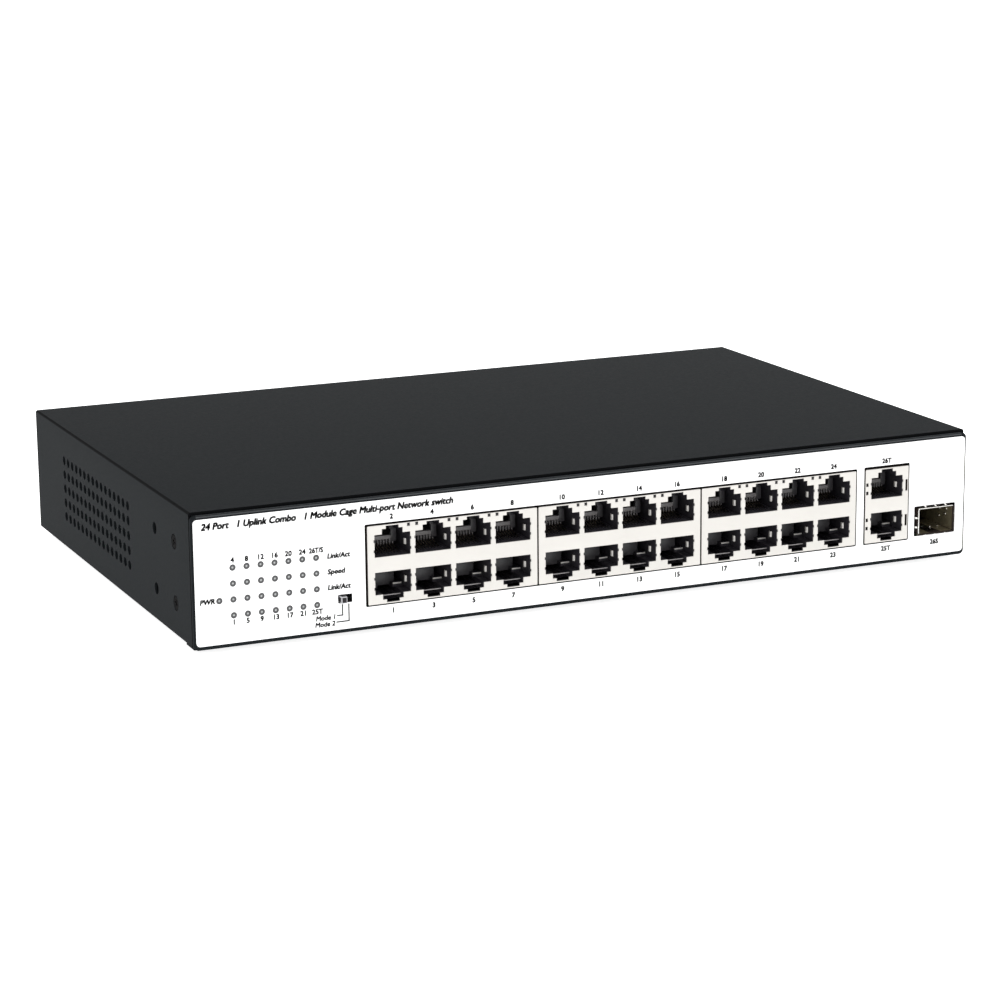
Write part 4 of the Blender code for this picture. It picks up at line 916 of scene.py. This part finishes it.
# ------------------------------------------------ lamps and slide switch
def make_lamps():
    """The lamps: a dark ring in each hole and a domed lens behind it."""
    rings, lenses = Shape(), Shape()
    dome = [(0.0, 0.6), (0.9, 0.6), (1.0, 0.55), (1.08, 0.42), (1.12, 0.2), (1.13, 0.02)]
    for x, z in led_places():
        rings.plate([circle(HOLE_SIDES, radius, (x, z)) for radius in LED_RING_RADII], "front",
                    FRONT + 0.02, LED_LENS_Y, edge=0.06)
        lenses.turned(dome, 20, (x, LED_LENS_Y, z), (0, -1, 0))
    rings.place("lamp_rings", "lamp_ring", "black_plastic")
    lenses.place("lamp_lenses", "lamp_lens", "lamp_plastic")


def make_slide_switch():
    """The slide switch: ribbed knob with its rounded edges painted light as highlights, housing with a
    track, and its metal frame.
    """
    low, high = box_mm("slide_switch_knob")
    knob = Shape()
    knob.box((low.x, high.x), (low.y, high.y), (low.z, high.z), 0.28)
    for i in (-1, 0, 1):
        x = (low.x + high.x) / 2 + i * 0.5
        knob.box((x - 0.12, x + 0.12), (low.y, low.y + 0.3), (low.z + 0.35, high.z - 0.35), 0.05)
    slider = knob.done("switch_slider", "black_nylon")
    # the knob's rounded edges are painted light grey as highlights
    slider.data.materials.append(LOOKS["nylon_edge_highlight"])
    for polygon in slider.data.polygons:
        polygon.material_index = int(most_square(polygon) < 0.98)
    place_piece(slider, ["slide_switch_knob"], "slide_knob")

    half, centre = front_of(SWITCH_LOW, SWITCH_HIGH)
    outline = rounded_rectangle(half, centre, 0.4, 4)
    track = rounded_rectangle((2.45, 1.25), (SWITCH_X, SWITCH_Z), 0.1, 2)
    track_floor = SWITCH_HIGH.y - 1.2
    body = Shape()
    body.plate([outline, track], "front", SWITCH_LOW.y, track_floor, edge=0.1)
    body.prism(outline, "front", track_floor, SWITCH_HIGH.y)
    body.place("switch_housing", "black_nylon", "black_plastic", ["slide_switch_body"])
    # the switch frame is painted dark as shade
    metal = Shape()
    metal.plate([rounded_rectangle((half[0] - 0.3, 2.6), (SWITCH_X, SWITCH_Z), 0.3, 3),
                 rounded_rectangle((2.5, 1.3), (SWITCH_X, SWITCH_Z), 0.1, 2)], "front",
                SWITCH_LOW.y - 0.3, SWITCH_LOW.y - 0.02, edge=0.08)
    metal.place("switch_frame", "shaded_tin", "shield_metal")


# ------------------------------------------------ screws
def make_screw(node, head, origin, axis, reach, depth, look="zinc"):
    """A turned screw with a cross recess; axis points from the head into the part.

    reach is the cross's arm, depth how far along the axis it is cut.
    """
    shape = Shape()
    shape.turned(head, 32, origin, axis)
    screw = shape.done("screw_blank", look)
    turn = Vector((0, 0, 1)).rotation_difference(Vector(axis)).to_matrix().to_4x4()
    place = (Matrix.Translation(Vector(origin) * MM) @ turn
             @ Matrix.Rotation(math.radians(RECESS_TURN), 4, "Z"))
    arms = []
    for a, b in ((reach, RECESS_HALF), (RECESS_HALF, reach)):
        arm = Shape()
        arm.box((-a, a), (-b, b), (-3.0, depth))
        arm.bm.transform(place)
        arms.append(arm)
    carve(screw, arms)
    screw.name = node + "_fine"
    place_piece(screw, [node])


def make_screws():
    """The black side screws, the rear cover screws and the earthing screw."""
    for side, sign in (("left", -1), ("right", 1)):
        for level, z in zip(("upper", "lower"), EAR_HOLE_Z):
            make_screw(f"cover_screw_{side}_{level}", COUNTERSUNK_HEAD, (sign * SIDE, EAR_HOLE_Y[0], z),
                       (-sign, 0, 0), 1.3, 0.9, "black_zinc")
        make_screw(f"cover_screw_rear_{side}", PAN_HEAD, (sign * REAR_SCREW_X, BACK, REAR_SCREW_Z),
                   (0, -1, 0), 1.5, -0.6)
    low, high = box_mm("ground_screw")
    _, (x, z) = front_of(low, high)
    make_screw("ground_screw", HEX_HEAD, (x, high.y - 2.0, z), (0, -1, 0), 1.9, -0.9)


# ------------------------------------------------ mains inlet
def inlet_outline(half, bevel, centre):
    """A socket outline whose two top corners are cut off."""
    (a, b), (u, v) = half, centre
    return [(u - a, v - b), (u + a, v - b), (u + a, v + b - bevel), (u + a - bevel, v + b),
            (u - a + bevel, v + b), (u - a, v + b - bevel)]


def make_inlet():
    """The mains inlet: flange, socket wall, socket floor, rim and three pins."""
    low, high = box_mm("iec_inlet")
    half, centre = front_of(low, high)
    flange = rounded_rectangle(half, centre, 1.6, 6)
    body = rounded_rectangle((half[0] - 1.8, half[1] - 2.1), centre, 1.0, 4)
    mouth = inlet_outline((12.0, 8.15), 4.5, centre)
    seat, floor_y = BACK + 0.02, BACK - 13.2
    shape = Shape()
    shape.plate([flange, mouth], "front", high.y, seat, edge=0.4)
    shape.plate([body, mouth], "front", seat, floor_y)
    shape.prism(body, "front", floor_y, low.y)
    shape.plate([offset(mouth, -0.7), mouth], "front", high.y, high.y - 0.5, edge=0.15)
    shape.place("inlet_moulding", "black_nylon", "black_plastic", ["iec_inlet"])
    for name in ("inlet_pin_line", "inlet_pin_neutral", "inlet_pin_earth"):
        low, high = box_mm(name)
        pin = Shape()
        pin.box((low.x, high.x), (low.y, high.y), (low.z, high.z), 0.35, 4)
        pin.place(name + "_blade", "nickel", "nickel", [name])


def make_earth_mark():
    """The printed earth sign beside the ground screw."""
    low, high = box_mm("ground_screw")
    x, z = high.x + 5.0, (low.z + high.z) / 2
    ys = (BACK + 0.004, BACK + INK_LIFT)
    mark = Shape()
    mark.box((x - 0.2, x + 0.2), ys, (z, z + 2.2))
    for level, half in ((0.0, 1.8), (-0.9, 1.15), (-1.8, 0.5)):
        mark.box((x - half, x + half), ys, (z + level - 0.2, z + level + 0.2))
    mark.place("earth_mark", "label_film", "label")


# ------------------------------------------------ rubber feet
def make_feet():
    """Four domed rubber feet."""
    profile = [(0.0, 5.2), (0.15, 5.55), (0.5, 5.8), (2.4, 6.0), (2.75, 5.9), (2.85, 5.6)]
    for number in range(1, 5):
        low, high = box_mm(f"rubber_foot_{number}")
        foot = Shape()
        centre = ((low.x + high.x) / 2, (low.y + high.y) / 2, low.z)
        foot.turned(profile, 40, centre, (0, 0, 1))
        foot.place(f"foot_{number}_moulded", "rubber", "rubber", [f"rubber_foot_{number}"])


# ------------------------------------------------ CAD nodes that show as they are
def dress_frame():
    """Give every CAD node the look of its material slot."""
    slots = {row["node"]: row["material_slot"] for row in frame["record"]["subparts"]}
    for name, node in frame["nodes"].items():
        node.data.materials.clear()
        node.data.materials.append(LOOKS[SLOT_LOOKS[slots[name]]])


# ------------------------------------------------ studio
def make_camera():
    """The camera at the photograph's viewing angle."""
    azimuth, elevation = math.radians(CAMERA_AZIMUTH), math.radians(CAMERA_ELEVATION)
    back = Vector((math.sin(azimuth) * math.cos(elevation), -math.cos(azimuth) * math.cos(elevation),
                   math.sin(elevation)))
    data = bpy.data.cameras.new("camera")
    data.lens = CAMERA_LENS
    data.sensor_width = 36.0
    data.clip_start, data.clip_end = 0.01, 20.0
    camera = add_object("camera", data)
    turn = (-back).to_track_quat("-Z", "Y").to_matrix().to_4x4()
    place = Matrix.Translation((Vector(CAMERA_TARGET) + back * CAMERA_DISTANCE) * MM)
    camera.matrix_world = place @ turn @ Matrix.Rotation(math.radians(CAMERA_ROLL), 4, "Z")
    bpy.context.scene.camera = camera


def area_light(name, place, size, power):
    """A soft light, in metres, turned to the object."""
    data = bpy.data.lights.new(name, "AREA")
    data.shape = "RECTANGLE"
    data.size, data.size_y = size
    data.energy = power
    light = add_object(name, data)
    light.location = place
    light.rotation_mode = "QUATERNION"
    light.rotation_quaternion = (Vector(LIGHT_TARGET) - Vector(place)).to_track_quat("-Z", "Y")


def make_studio():
    """A white, faintly glowing paper floor in a white room, and two soft lights."""
    floor_mesh = bpy.data.meshes.new("floor")
    corners = [(u, v, FLOOR_LEVEL) for u, v in rectangle((FLOOR_REACH, FLOOR_REACH))]
    floor_mesh.from_pydata(corners, [], [(0, 1, 2, 3)])
    paper = finish("floor_paper", (0.90, 0.90, 0.90), (0.92, 0.92, 0.92), (0.8, 0.9), mottle=3.0)
    set_inputs(paper.node_tree.nodes["Principled BSDF"],
               {"Emission Color": WHITE, "Emission Strength": 0.85})
    floor_mesh.materials.append(paper)
    add_object("floor", floor_mesh)
    world = bpy.data.worlds.new("studio")
    world.use_nodes = True
    set_inputs(world.node_tree.nodes["Background"], {"Color": WHITE, "Strength": 1.0})
    bpy.context.scene.world = world
    bpy.context.scene.view_settings.view_transform = "Standard"
    area_light("key", (-0.5, -1.3, 0.9), (1.2, 0.9), 6.0)
    area_light("fill", (1.0, -1.0, 0.7), (1.0, 1.0), 2.0)


def main():
    """Everything in the scene, the camera first."""
    make_camera()
    dress_frame()
    make_cover()
    make_front_panel()
    make_label()
    make_legends()
    for suffix, family, box, xs, _ in block_places():
        make_jack_block(suffix, family, box, xs)
    make_cage()
    make_lamps()
    make_slide_switch()
    make_screws()
    make_inlet()
    make_earth_mark()
    make_feet()
    make_studio()


main()
